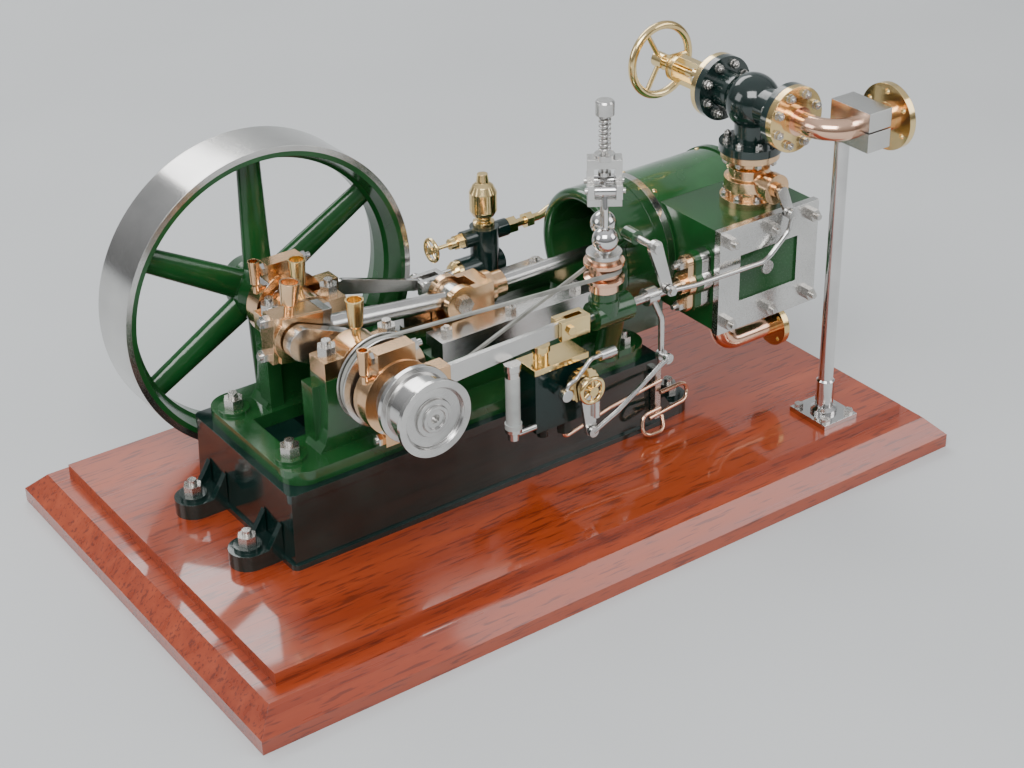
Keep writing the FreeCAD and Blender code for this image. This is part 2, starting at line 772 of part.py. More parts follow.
def make_rod():
    """Round connecting rod with a T-head, split bronze big end, oil cup and crankpin."""
    slope = Rotation(Vector(0, 1, 0), math.degrees(math.asin(value_of(f"({ROD_DROP}) / rod_length"))))
    spot = (PIN_X, "engine_y", PIN_Z)
    head = box("5", "2 * big_end_half - 1.6", "26", ("15", "-big_end_half + 0.8", "-13"))
    shank = turned(
        [
            ("18", "0"),
            ("18", "rod_swell + 1.6"),
            ("23", "rod_swell"),
            ("rod_length - 6", "rod_radius"),
            ("rod_length - 6", "0"),
        ],
        ORIGIN,
        "x",
    )
    eye = cylinder("8", "2 * fork_half - 0.6", ("rod_length", "-fork_half + 0.3", "0"), "y")
    hole = cylinder("3.55", "20", ("rod_length", "-10", "0"), "y")
    bolts = []
    for z in ("-9.6", "9.6"):
        bolts.append(cylinder("1.9", "38", ("-18.5", "0", z), "x"))
        bolts.append(hexagon("6.6", "3.6", ("-16.6", "0", z), "x"))
        bolts.append(hexagon("6.6", "2.6", ("20", "0", z), "x"))
    rod = cut(fuse(head, shank, eye, *bolts), hole)
    move(node("connecting_rod", rod), spot, slope)

    block = box("24", "2 * big_end_half", "25", ("-9", "-big_end_half", "-12.5"))
    nose = cylinder("12.5", "2 * big_end_half", ("-0.5", "-big_end_half", "0"), "y")
    cheeks = box("28", "2 * big_end_half - 3", "25.4", ("-13", "-big_end_half + 1.5", "-12.7"))
    cup = oil_cup("-1", "0", "12.2", "5.2", "17")
    tools = [
        cylinder("pin_radius", "30", ("0", "-15", "0"), "y"),
        cylinder("1.9", "50", ("-25", "0", "-9.6"), "x"),
        cylinder("1.9", "50", ("-25", "0", "9.6"), "x"),
    ]
    brasses = cut(fuse(block, nose, cheeks, cup), *tools)
    move(node("big_end", brasses), spot, slope)

    pin = cylinder("pin_radius", "2 * web_inner - 0.4", (PIN_X, "engine_y - web_inner + 0.2", PIN_Z), "y")
    node("crankpin", pin)


def make_crosshead():
    """Bronze fork on a flanged slipper, gripped under the slide bars, with pin, rod and piston."""
    low = "table_top + 9"
    half = "crosshead_half"
    cheek = cylinder("10.5", f"2 * {half}", (WRIST_X, f"engine_y - {half}", "crank_z"), "y")
    block = between(f"{WRIST_X} - 8", f"{WRIST_X} + 20", f"engine_y - {half}", f"engine_y + {half}", low, "crank_z + 8")
    boss = turned(
        [("19", "0"), ("19", "9.5"), ("23", "9.5"), ("24.5", "7.5"), ("31", "7.5"), ("31", "0")],
        (WRIST_X, "engine_y", "crank_z"),
        "x",
    )
    gap = between(f"{WRIST_X} - 20", f"{WRIST_X} + 11", "engine_y - fork_half", "engine_y + fork_half", "table_top", "crank_z + 20")
    hole = cylinder("3.5", "40", (WRIST_X, "engine_y - 20", "crank_z"), "y")
    socket = cylinder("piston_rod", "12", (f"{WRIST_X} + 22", "engine_y", "crank_z"), "x")
    node("crosshead", cut(fuse(cheek, block, boss), gap, hole, socket))

    length = "slipper_length"
    flange = between(
        f"{WRIST_X} - {length} / 2 + 4",
        f"{WRIST_X} + {length} / 2 + 4",
        "engine_y - 15",
        "engine_y + 15",
        "table_top + 0.3",
        "table_top + bar_rise - 0.3",
    )
    neck = between(
        f"{WRIST_X} - 8",
        f"{WRIST_X} + 20",
        f"engine_y - {half}",
        f"engine_y + {half}",
        "table_top + bar_rise - 1",
        low,
    )
    node("slipper", fuse(flange, neck))

    pin = cylinder("3.5", "25", (WRIST_X, "engine_y - 12.5", "crank_z"), "y")
    nut = hexagon("9", "2.5", (WRIST_X, f"engine_y - {half} - 2.5", "crank_z"), "y")
    head = cylinder("5", "2", (WRIST_X, f"engine_y + {half}", "crank_z"), "y")
    node("crosshead_pin", fuse(pin, nut, head))

    piston_x = "trunk_right + 6"
    rod = cylinder("piston_rod", f"{piston_x} - ({WRIST_X} + 22)", (f"{WRIST_X} + 22", "engine_y", "crank_z"), "x")
    node("piston_rod", rod)
    disc = turned(
        [
            ("0", "0"),
            ("0", "bore_radius - 0.1"),
            ("3", "bore_radius - 0.1"),
            ("3", "bore_radius - 1.6"),
            ("5", "bore_radius - 1.6"),
            ("5", "bore_radius - 0.1"),
            ("10", "bore_radius - 0.1"),
            ("10", "0"),
        ],
        (piston_x, "engine_y", "crank_z"),
        "x",
    )
    node("piston", disc)


def make_slide_bars():
    """Two flat bars on spacers, which hold the slipper down on the guide table."""
    left = "table_left + 1"
    bar = between(left, "bar_right", "engine_y + bar_gap", "engine_y + bar_outer", "table_top + bar_rise", "table_top + bar_rise + bar_thick")
    spacer = between(left, "bar_right", "engine_y + 15.5", "engine_y + bar_outer", "table_top", "table_top + bar_rise")
    one = fuse(bar, spacer)
    node("slide_bars", group(one, mirror_y(one)))


# ---- cylinder, steam chest and glands ----

def make_cylinder():
    """Bored cylinder between round flanges, with the steam chest cast on its valve side."""
    wall = "3.5"
    front = cylinder("flange_radius", "4.5", ("trunk_right", "engine_y", "crank_z"), "x")
    rear = cylinder("flange_radius", "4.5", ("cylinder_right - 4.5", "engine_y", "crank_z"), "x")
    barrel = cylinder("barrel_radius", "cylinder_right - trunk_right", ("trunk_right", "engine_y", "crank_z"), "x")
    cover = turned(
        [("0", "0"), ("0", "flange_radius - 2"), ("4", "flange_radius - 2"), ("5", "flange_radius - 4"),
         ("5", "bore_radius"), ("7", "bore_radius - 3"), ("7", "0")],
        ("cylinder_right", "engine_y", "crank_z"),
        "x",
    )
    chest = between("chest_left", "chest_right", "chest_face", "engine_y - 20", "chest_low", "chest_high")
    boss = gland_oval("chest_left - 12", "13", "8", "5.6")
    holes = [
        cylinder("bore_radius", f"cylinder_right - trunk_right - 2 * {wall}", (f"trunk_right + {wall}", "engine_y", "crank_z"), "x"),
        cylinder("piston_rod + 0.1", "20", ("trunk_right - 10", "engine_y", "crank_z"), "x"),
        cylinder("spindle_radius + 0.4", "60", ("chest_left - 14", "valve_y", "crank_z"), "x"),
    ]
    node("cylinder", cut(fuse(front, rear, barrel, cover, chest, boss), *holes))

    jacket = cylinder("lagging_radius", "cylinder_right - trunk_right - 9", ("trunk_right + 4.5", "engine_y", "crank_z"), "x")
    inside = cylinder("barrel_radius", "100", ("trunk_right - 5", "engine_y", "crank_z"), "x")
    notch = between("chest_left", "chest_right", "chest_face", "engine_y - 20", "chest_low", "chest_high")
    node("lagging", cut(jacket, inside, notch))

    plate_face = "chest_face - cover_thick"
    cover = between("chest_left - 1", "chest_right + 1", plate_face, "chest_face", "chest_low - 1", "chest_high + 1")
    panel = between("chest_left + 14", "chest_right - 14", f"{plate_face} - 1", f"{plate_face} + 1.4", "chest_low + 16", "chest_high - 17")
    plug = cylinder("4", "2", ("(chest_left + chest_right) / 2", f"{plate_face} + 0.2", "(chest_low + chest_high) / 2"), "y")
    node("steam_chest_cover", fuse(cut(cover, panel), plug))


def gland_oval(left, length, middle, ends):
    """An upright oval block round the valve spindle, with a stud seat above and below."""
    low, high = "crank_z - 12.4", "crank_z + 12.4"
    return fuse(
        cylinder(middle, length, (left, "valve_y", "crank_z"), "x"),
        cylinder(ends, length, (left, "valve_y", low), "x"),
        cylinder(ends, length, (left, "valve_y", high), "x"),
        between(left, f"{left} + {length}", f"valve_y - {ends}", f"valve_y + {ends}", low, high),
    )


def make_glands():
    """Bronze stuffing-box glands: round on the piston rod, oval on the valve spindle."""
    round_one = turned(
        [("-12", "piston_rod + 0.05"), ("-12", "10"), ("-11", "11"), ("-8", "13"), ("-4", "13"), ("-4", "9"),
         ("0", "9"), ("0", "piston_rod + 0.05")],
        ("trunk_right", "engine_y", "crank_z"),
        "x",
    )
    hull = fuse(
        gland_oval("chest_left - 16.6", "4.6", "7.4", "4.6"),
        cylinder("5.2", "4", ("chest_left - 20.6", "valve_y", "crank_z"), "x"),
    )
    bore = cylinder("spindle_radius + 0.05", "20", ("chest_left - 24", "valve_y", "crank_z"), "x")
    node("glands", group(round_one, cut(hull, bore)))


# ---- steam inlet and exhaust ----

def make_throttle():
    """Bronze throttle chamber with a butterfly spindle housing towards the valve side."""
    body = turned(
        [("0", "0"), ("0", "16"), ("4", "16"), ("4", "12"), ("8", "12"), ("9", "14"), ("15", "14"), ("16", "11.5"),
         ("21", "11.5"), ("22", "9"), ("27", "9"), ("27", "16.5"), ("31", "16.5"), ("31", "0")],
        ("steam_x", "steam_y", "chest_high"),
    )
    branch = turned(
        [("10", "0"), ("10", "6"), ("17", "6"), ("17", "8.6"), ("20", "8.6"), ("20.4", "8.6"), ("23", "8.6"),
         ("23", "4"), ("25", "4"), ("25", "2.05"), ("12", "2.05"), ("12", "0")],
        ("steam_x", "steam_y", "chest_high + 14"),
        "y",
    )
    move(branch, ("steam_x", "steam_y", "chest_high + 14"), Rotation(Vector(0, 0, 1), 180))
    node("throttle_body", fuse(body, branch))


def bolt_holes(x, y, z, radius, count, axis, low, length, hole):
    """Tools for a ring of bolt holes through a flange."""
    tools = []
    for number in range(count):
        turn = 360.0 * (number + 0.5) / count
        across, up = f"{radius} * cos({turn})", f"{radius} * sin({turn})"
        spot = {
            "x": (low, f"{y} + {across}", f"{z} + {up}"),
            "y": (f"{x} + {across}", low, f"{z} + {up}"),
            "z": (f"{x} + {across}", f"{y} + {up}", low),
        }[axis]
        tools.append(cylinder(hole, length, spot, axis))
    return tools


def make_stop_valve():
    """Globe stop valve: dark body, brass bonnet with an open yoke, and a spoked handwheel."""
    body = fuse(
        ball("15.6", ("steam_x", "steam_y", "steam_z")),
        cylinder("9.5", "24", ("steam_x", "steam_y", "chest_high + 33"), "z"),
        cylinder("17.6", "4.6", ("steam_x", "steam_y", "chest_high + 31"), "z"),
        cylinder("10.5", "56", ("steam_x", "steam_y - 30", "steam_z"), "y"),
        cylinder("pipe_flange", "4.4", ("steam_x", "steam_y - 31", "steam_z"), "y"),
        cylinder("pipe_flange", "4.4", ("steam_x", "steam_y + 22.6", "steam_z"), "y"),
    )
    bore = cylinder("2.7", "50", ("steam_x", "steam_y - 6", "steam_z"), "y")
    node("stop_valve_body", cut(body, bore))

    start = "steam_y + 27"
    neck = turned(
        [("0", "2.6"), ("0", "pipe_flange"), ("3.6", "pipe_flange"), ("4.4", "11"), ("10", "7.5"), ("16", "6"),
         ("16", "5"), ("20", "5"), ("20", "2.6")],
        ("steam_x", start, "steam_z"),
        "y",
    )
    arms = [
        between("steam_x - 2.5", "steam_x + 2.5", f"{start} + 7", f"{start} + 36", f"steam_z {sign} 6.5 - 1.6", f"steam_z {sign} 6.5 + 1.6")
        for sign in ("-", "+")
    ]
    bridge = cylinder("8", "5", ("steam_x", f"{start} + 33", "steam_z"), "y")
    hole = cylinder("2.6", "60", ("steam_x", f"{start} - 5", "steam_z"), "y")
    node("stop_valve_bonnet", cut(fuse(neck, bridge, *arms), hole))

    wheel_y = f"{start} + 52"
    pieces = [
        torus("20.6", "2.4", ("steam_x", wheel_y, "steam_z"), "y"),
        cylinder("4.6", "8", ("steam_x", f"{wheel_y} - 5", "steam_z"), "y"),
        cylinder("2.5", "85", ("steam_x", "steam_y - 4", "steam_z"), "y"),
    ]
    for angle in (90.0, 210.0, 330.0):
        spoke = cylinder("1.5", "20", ORIGIN)
        turn = Rotation(Vector(0, 1, 0), angle)
        pieces.append(move(spoke, ("steam_x", wheel_y, "steam_z"), turn))
    node("stop_valve_handwheel", fuse(*pieces))


def make_steam_pipe():
    """Copper elbow between brass flanges, held in a split clamp on a turned pillar."""
    joint = "steam_y - 31"
    route = [("steam_x", f"{joint} - 3", "steam_z"), ("steam_x", "pipe_y", "steam_z"), ("inlet_x - 3", "pipe_y", "steam_z")]
    tube = pipe(route, "pipe_radius", "16")
    first = cylinder("pipe_flange", "4", ("steam_x", f"{joint} - 4", "steam_z"), "y")
    neck = cylinder("pipe_radius + 2", "3", ("steam_x", f"{joint} - 7", "steam_z"), "y")
    last = cylinder("pipe_flange", "4", ("inlet_x - 4", "pipe_y", "steam_z"), "x")
    collar = cylinder("pipe_radius + 2", "4", ("inlet_x - 8", "pipe_y", "steam_z"), "x")
    bore = cylinder("pipe_radius - 1.4", "14", ("inlet_x - 13.9", "pipe_y", "steam_z"), "x")
    holes = bolt_holes("0", "pipe_y", "steam_z", "14.4", 6, "x", "inlet_x - 5", "6", "1.5")
    node("steam_pipe", cut(fuse(tube, first, neck, last, collar), bore, *holes))

    clamp = between("pillar_x - 3", "pillar_x + 13", "pipe_y - 12", "pillar_y + 7", "steam_z - 11", "steam_z + 11")
    split = between("pillar_x - 4", "pillar_x + 14", "pipe_y - 13", "pipe_y", "steam_z - 0.5", "steam_z + 0.5")
    seat = cylinder("pipe_radius", "30", ("pillar_x - 8", "pipe_y", "steam_z"), "x")
    node("pipe_clamp", cut(clamp, split, seat))

    foot = box("25", "29", "3", ("pillar_x - 12.5", "pillar_y - 14.5", "plinth_top"))
    column = turned(
        [("0", "0"), ("0", "7.6"), ("2", "7.6"), ("3.4", "5.2"), ("20", "5.2"), ("21", "4.2"),
         ("steam_z - 11 - plinth_top - 3", "4.2"), ("steam_z - 11 - plinth_top - 3", "0")],
        ("pillar_x", "pillar_y", "plinth_top + 3"),
    )
    node("support_pillar", fuse(foot, column))


def make_exhaust():
    """Exhaust branch below the chest, turned towards the rear and ended in a drilled flange."""
    y = "chest_face + 20"
    route = [("chest_left + 22", y, "chest_low"), ("chest_left + 22", y, "chest_low - 25"), ("chest_right - 5", y, "chest_low - 25")]
    tube = pipe(route, "5.4", "13")
    collar = cylinder("9", "4", ("chest_left + 22", y, "chest_low - 4"), "z")
    flange = cylinder("12.5", "4", ("chest_right - 8", y, "chest_low - 25"), "x")
    bore = cylinder("4.2", "14", ("chest_right - 14", y, "chest_low - 25"), "x")
    holes = bolt_holes("0", y, "chest_low - 25", "9.4", 4, "x", "chest_right - 9", "6", "1.3")
    node("exhaust_pipe", cut(fuse(tube, collar, flange), bore, *holes))


# ---- valve gear and pump drive ----

def make_strap(y, centre_z):
    """Split bronze eccentric strap with bolting lugs above and below and a rod seat."""
    low = f"{y} - strap_half"
    ring = cylinder("strap_radius", "2 * strap_half", ("crank_x", low, centre_z), "y")
    lugs = [
        between("crank_x - 11", "crank_x + 11", f"{y} - 4.6", f"{y} + 4.6", f"{centre_z} + 15", f"{centre_z} + strap_radius + 7"),
        between("crank_x - 9", "crank_x + 9", f"{y} - 4.6", f"{y} + 4.6", f"{centre_z} - strap_radius - 6", f"{centre_z} - 15"),
    ]
    seat = between("crank_x + 14", "crank_x + 31", f"{y} - 5", f"{y} + 5", f"{centre_z} - 8", f"{centre_z} + 8")
    bolts = []
    for reach, spot in ((14, f"{centre_z} + strap_radius + 3.4"), (12, f"{centre_z} - strap_radius - 3")):
        bolts.append(cylinder("1.8", f"2 * {reach} + 4", (f"crank_x - {reach} - 1", y, spot), "x"))
        bolts.append(hexagon("6", "3", (f"crank_x - {reach}", y, spot), "x"))
        bolts.append(hexagon("6", "3", (f"crank_x + {reach} - 3", y, spot), "x"))
    cup = oil_cup("crank_x - 16.6", y, f"{centre_z} + 11.4", "3", "19")
    bore = cylinder("sheave_radius + 0.06", "40", ("crank_x", f"{y} - 20", centre_z), "y")
    return cut(fuse(ring, seat, cup, *lugs, *bolts), bore)


def make_valve_gear():
    """Eccentric, flat rod, slotted clevis and valve spindle with its lubricator drive arm."""
    centre = "crank_z - eccentric_throw"
    node("valve_strap", make_strap("valve_y", centre))
    rod = lever(("crank_x + 37", f"{centre} + 0.2"), ("valve_pin_x", "crank_z"), "5.4", "4", "3", "valve_y")
    stub = between("crank_x + 31", "crank_x + 37", "valve_y - 1.5", "valve_y + 1.5", f"{centre} - 5.2", f"{centre} + 5.6")
    hole = cylinder("1.8", "10", ("valve_pin_x", "valve_y - 5", "crank_z"), "y")
    node("valve_eccentric_rod", cut(fuse(rod, stub), hole))

    block = between("valve_pin_x - 5.5", "valve_pin_x + 13", "valve_y - 5", "valve_y + 5", "crank_z - 5.5", "crank_z + 5.5")
    slot = between("valve_pin_x - 6", "valve_pin_x + 10.4", "valve_y - 1.8", "valve_y + 1.8", "crank_z - 6", "crank_z + 6")
    heads = [
        hexagon("4.6", "1.8", ("valve_pin_x", "valve_y - 6.8", "crank_z"), "y"),
        cylinder("2.2", "1.4", ("valve_pin_x", "valve_y + 5", "crank_z"), "y"),
    ]
    node("valve_clevis", fuse(cut(block, slot), *heads))

    spindle = cylinder("spindle_radius", "142 - valve_pin_x - 13", ("valve_pin_x + 13", "valve_y", "crank_z"), "x")
    clamp = cylinder("5", "7", ("62", "valve_y", "crank_z"), "x")
    arm = pipe(
        [("65.5", "valve_y - 3", "crank_z - 1"), ("69", "valve_y - 6", "crank_z - 12"), ("69", "valve_y - 6.5", "86")],
        "1.8",
        "9",
    )
    pin = cylinder("1.5", "9", ("69", "valve_y - 14", "84.4"), "y")
    eye = cylinder("3.2", "3", ("69", "valve_y - 8", "84.4"), "y")
    node("valve_spindle", fuse(spindle, clamp, arm, eye, pin))


def make_pump():
    """Feed pump: driven ram, dark valve box on a foot, brass air vessel and delivery pipe."""
    centre = "crank_z + eccentric_throw"
    node("pump_strap", make_strap("pump_y", centre))
    end_x = "-12"
    rod = lever(("crank_x + 36", f"{centre} - 1"), (end_x, "pump_z"), "4.6", "3", "3", "pump_y")
    stub = between("crank_x + 31", "crank_x + 36", "pump_y - 1.5", "pump_y + 1.5", f"{centre} - 4.6", f"{centre} + 3")
    boss = cylinder("3.4", "4", (end_x, "pump_y - 2", "pump_z"), "y")
    node("pump_rod", fuse(rod, stub, boss))

    cheeks = cut(
        between("-16", "2", "pump_y - 5.4", "pump_y + 5.4", "pump_z - 4", "pump_z + 4"),
        between("-17", "-1", "pump_y - 2.4", "pump_y + 2.4", "pump_z - 5", "pump_z + 5"),
    )
    rings = [
        cylinder("4.2", "2", (end_x, f"pump_y {sign}", "pump_z"), "y") for sign in ("- 7.4", "+ 5.4")
    ]
    ram = cylinder("3.6", "28", ("2", "pump_y", "pump_z"), "x")
    node("pump_ram", fuse(cheeks, ram, *rings))

    barrel = cylinder("7.4", "28", ("14", "pump_y", "pump_z"), "x")
    chamber = cylinder("8.4", "34", ("32", "pump_y", "96"), "z")
    branch = cylinder("5.2", "30", ("17", "pump_y", "125"), "x")
    foot = between("22", "42", "pump_y - 6", "engine_y + base_width / 2 - bed_inset", "base_top + bed_flange", "100")
    sole = between("16", "48", "pump_y - 8", "engine_y + base_width / 2 - bed_inset", "base_top + bed_flange", "base_top + bed_flange + 3")
    bore = cylinder("3.7", "36", ("10", "pump_y", "pump_z"), "x")
    node("pump_body", cut(fuse(barrel, chamber, branch, foot, sole), bore))

    vessel = turned(
        [("0", "0"), ("0", "6.2"), ("3", "6.2"), ("3.6", "4.2"), ("5.4", "4.2"), ("7", "6.4"), ("10", "8"), ("21", "8"),
         ("25", "6"), ("27", "3.6"), ("28", "3.6"), ("32", "3"), ("32", "0")],
        ("32", "pump_y", "130.2"),
    )
    node("air_vessel", vessel)

    gland = turned(
        [("0", "3.75"), ("0", "5.6"), ("2", "7"), ("5", "7"), ("5", "3.75")],
        ("9", "pump_y", "pump_z"),
        "x",
    )
    wheel = [
        torus("6.4", "1.1", ("-4", "pump_y", "125"), "x"),
        cylinder("1.2", "19", ("-5", "pump_y", "125"), "x"),
        cylinder("2.4", "3", ("-5.5", "pump_y", "125"), "x"),
        hexagon("8", "5", ("12", "pump_y", "125"), "x"),
        cylinder("3.2", "4", ("8", "pump_y", "125"), "x"),
    ]
    for angle in (0, 90):
        bar = cylinder("0.8", "12.8", ORIGIN)
        turn = Rotation(Vector(1, 0, 0), angle + 45)
        sway = f"6.4 * cos({angle + 45})"
        side = f"6.4 * sin({angle + 45})"
        wheel.append(move(bar, ("-4", f"pump_y + {side}", f"125 - {sway}"), turn))
    node("pump_bypass", fuse(*wheel))
    tube = pipe([("51", "pump_y", "125"), ("72", "pump_y", "125"), ("94", "pump_y", "134")], "2.4", "14")
    unions = [
        hexagon("9", "6", ("47", "pump_y", "125"), "x"),
        hexagon("8", "5", ("60", "pump_y", "125"), "x"),
    ]
    node("pump_fittings", group(gland, fuse(tube, *unions)))


# ---- governor ----

def make_governor():
    """Spring-loaded governor on its own bracket, turned by the belt from the crankshaft."""
    at = ("governor_x", "governor_y")
    guide = cylinder("8", "24", ("governor_x - 8", "valve_y", "crank_z"), "x")
    guide_ring = cylinder("5.2", "1.6", ("governor_x - 9.4", "valve_y", "crank_z"), "x")
    barrel = cylinder("8.4", "governor_seat - crank_z", (*at, "crank_z"), "z")
    seat = "base_top + bed_flange"
    leg = loft(
        circle("7", ("50", "engine_y - 44", seat)),
        circle("6.6", ("governor_x + 9", "valve_y + 2", "crank_z")),
    )
    foot = fuse(
        cylinder("8", "4", ("50", "engine_y - 44", seat), "z"),
        cylinder("6.4", "4", ("63", "engine_y - 44", seat), "z"),
        between("50", "63", "engine_y - 50.4", "engine_y - 37.6", seat, f"{seat} + 4"),
    )
    bush = cylinder("7.4", "5", (*at, "governor_seat"), "z")
    bore = cylinder("spindle_radius + 0.05", "60", ("governor_x - 20", "valve_y", "crank_z"), "x")
    pivot = cylinder("2.5", "20", (*at, "governor_seat - 2"), "z")
    node("governor_bracket", cut(fuse(guide, guide_ring, barrel, leg, foot, bush), bore, pivot))

    low = "governor_seat + 5.2"
    node(
        "governor_pulley",
        turned(
            [("0", "2.4"), ("0", "8"), ("6", "8"), ("6", "11"), ("8", "11"), ("9", "8.2"), ("14.4", "8.2"), ("15.4", "11"),
             ("17.4", "11"), ("17.4", "2.4")],
            (*at, low),
        ),
    )
    top = f"{low} + 17.4"
    turn = Rotation(Vector(0, 0, 1), -35)
    cup = turned([("0", "0"), ("0", "8"), ("3", "9.6"), ("5", "9.6"), ("5", "4"), ("7", "2.4"), ("7", "0")], ("0", "0", top))
    core = cylinder("2.4", "186 - governor_seat", ("0", "0", "governor_seat - 1"), "z")
    sides = [between(x_1, x_2, "-4.4", "4.4", "183", "209") for x_1, x_2 in (("-9", "-5.6"), ("5.6", "9"))]
    sill = between("-9", "9", "-4.4", "4.4", "183", "187")
    lintel = between("-9", "9", "-4.4", "4.4", "204", "209")
    crown = cylinder("5.4", "3", ("0", "0", "208"), "z")
    pins = []
    for y in ("-6.6", "6.6"):
        pins.append(between("-9", "-5.6", f"{y} - 3", f"{y} + 3", "189", "197"))
        pins.append(between("5.6", "9", f"{y} - 3", f"{y} + 3", "189", "197"))
        pins.append(cylinder("1.5", "21", ("-10.5", y, "193"), "x"))
    guide = cylinder("1.8", "30", ("0", "0", "188"), "z")
    yoke = cut(fuse(cup, core, sill, lintel, crown, *sides, *pins), guide)
    move(node("governor_yoke", yoke), (*at, "0"), turn)

    for label, side in (("governor_arm_near", -1), ("governor_arm_far", 1)):
        arm = pipe(
            [("0", f"{side} * 6.6", "193"), ("0", f"{side} * 10", "184"), ("0", f"{side} * 10", "170")],
            "1.5",
            "5",
        )
        toe = pipe([("0", f"{side} * 6.6", "193"), ("0", f"{side} * 3.2", "195.4")], "1.3", "1")
        hub = cylinder("3", "10.6", ("-5.3", f"{side} * 6.6", "193"), "x")
        weight = ball("ball_radius", ("0", f"{side} * 10", "167"))
        hole = cylinder("1.55", "24", ("-12", f"{side} * 6.6", "193"), "x")
        piece = cut(fuse(arm, toe, hub, weight), hole)
        move(node(label, piece), (*at, "0"), turn)

    rod = turned(
        [("199", "0"), ("199", "3.4"), ("201", "3.4"), ("201", "1.7"), ("232.4", "1.7"), ("232.4", "5"), ("239", "5"),
         ("240", "4.2"), ("240", "0")],
        (*at, "0"),
    )
    node("governor_spindle", rod)
    coil = turned([("211.2", "1.9"), ("211.2", "3.3"), ("232.2", "3.3"), ("232.2", "1.9")], (*at, "0"))
    node("governor_spring", coil)


def make_belt():
    """Quarter-twist flat belt: round the grooved pulley on the shaft and the governor pulley."""
    drive = "governor_drive_radius - groove_depth + 0.3"
    driven = "8.6"
    low = "governor_seat + 16.4"
    wide = "2.4"
    thick = "0.9"
    belt_y = "governor_groove_y + 0.7"
    radius = value_of(f"{drive} + {thick} / 2")
    far_x = value_of("governor_x - crank_x")
    far_z = value_of(f"{low} + {wide} / 2 - crank_z")
    lean = math.atan2(far_z, far_x)
    spread = math.asin(radius / math.hypot(far_x, far_z))
    leaving = {
        1: Vector(-math.sin(lean - spread), 0, math.cos(lean - spread)),
        -1: Vector(math.sin(lean + spread), 0, -math.cos(lean + spread)),
    }
    open_side = [("crank_x", "crank_z")]
    for out in (leaving[-1] * 60, Vector(math.cos(lean), 0, math.sin(lean)) * 90, leaving[1] * 60):
        open_side.append((f"crank_x + {out.x:.3f}", f"crank_z + {out.z:.3f}"))
    wrap = cut(
        cylinder(f"{drive} + {thick}", wide, ("crank_x", f"{belt_y} - {wide} / 2", "crank_z"), "y"),
        cylinder(drive, "10", ("crank_x", f"{belt_y} - 5", "crank_z"), "y"),
        plate(open_side, "20", ("0", belt_y, "0")),
    )
    loop = cut(
        cylinder(f"{driven} + {thick}", wide, ("governor_x", "governor_y", low), "z"),
        cylinder(driven, "10", ("governor_x", "governor_y", f"{low} - 3"), "z"),
        between("governor_x - 40", "governor_x", "governor_y - 20", "governor_y + 20", f"{low} - 4", f"{low} + 8"),
    )
    shaft = Vector(value_of("crank_x"), value_of(belt_y), value_of("crank_z"))
    far_end = Vector(value_of("governor_x"), value_of("governor_y"), value_of(f"{low} + {wide} / 2"))
    across, up = Vector(0, value_of(wide) / 2, 0), Vector(0, 0, value_of(wide) / 2)
    strands = []
    for side in (1, -1):
        out = leaving[side]
        beside = Vector(0, -side, 0)
        start = section(shaft + out * radius, across, out * (value_of(thick) / 2))
        spot = far_end + beside * value_of(f"{driven} + {thick} / 2")
        strands.append(loft(start, section(spot, up * side, beside * (value_of(thick) / 2))))
    node("drive_belt", fuse(wrap, loop, *strands))


def section(spot, half_wide, half_thick):
    """The belt's rectangular section where a straight run meets a pulley."""
    signs = ((-1, -1), (1, -1), (1, 1), (-1, 1))
    ring = [spot + half_wide * a + half_thick * b for a, b in signs]
    outline_of = add("Part::Feature", "Section")
    outline_of.Shape = Part.makePolygon(ring + ring[:1])
    return outline_of


# ---- throttle linkage ----

THROTTLE_Y = "chest_face - cover_thick - 4.4"
LEVER_TOP = ("57", "crank_z + 37")
LEVER_END = ("66", "crank_z + 10")
BUTTERFLY = ("steam_x", "chest_high + 14")
BUTTERFLY_END = ("steam_x + 6", "chest_high")


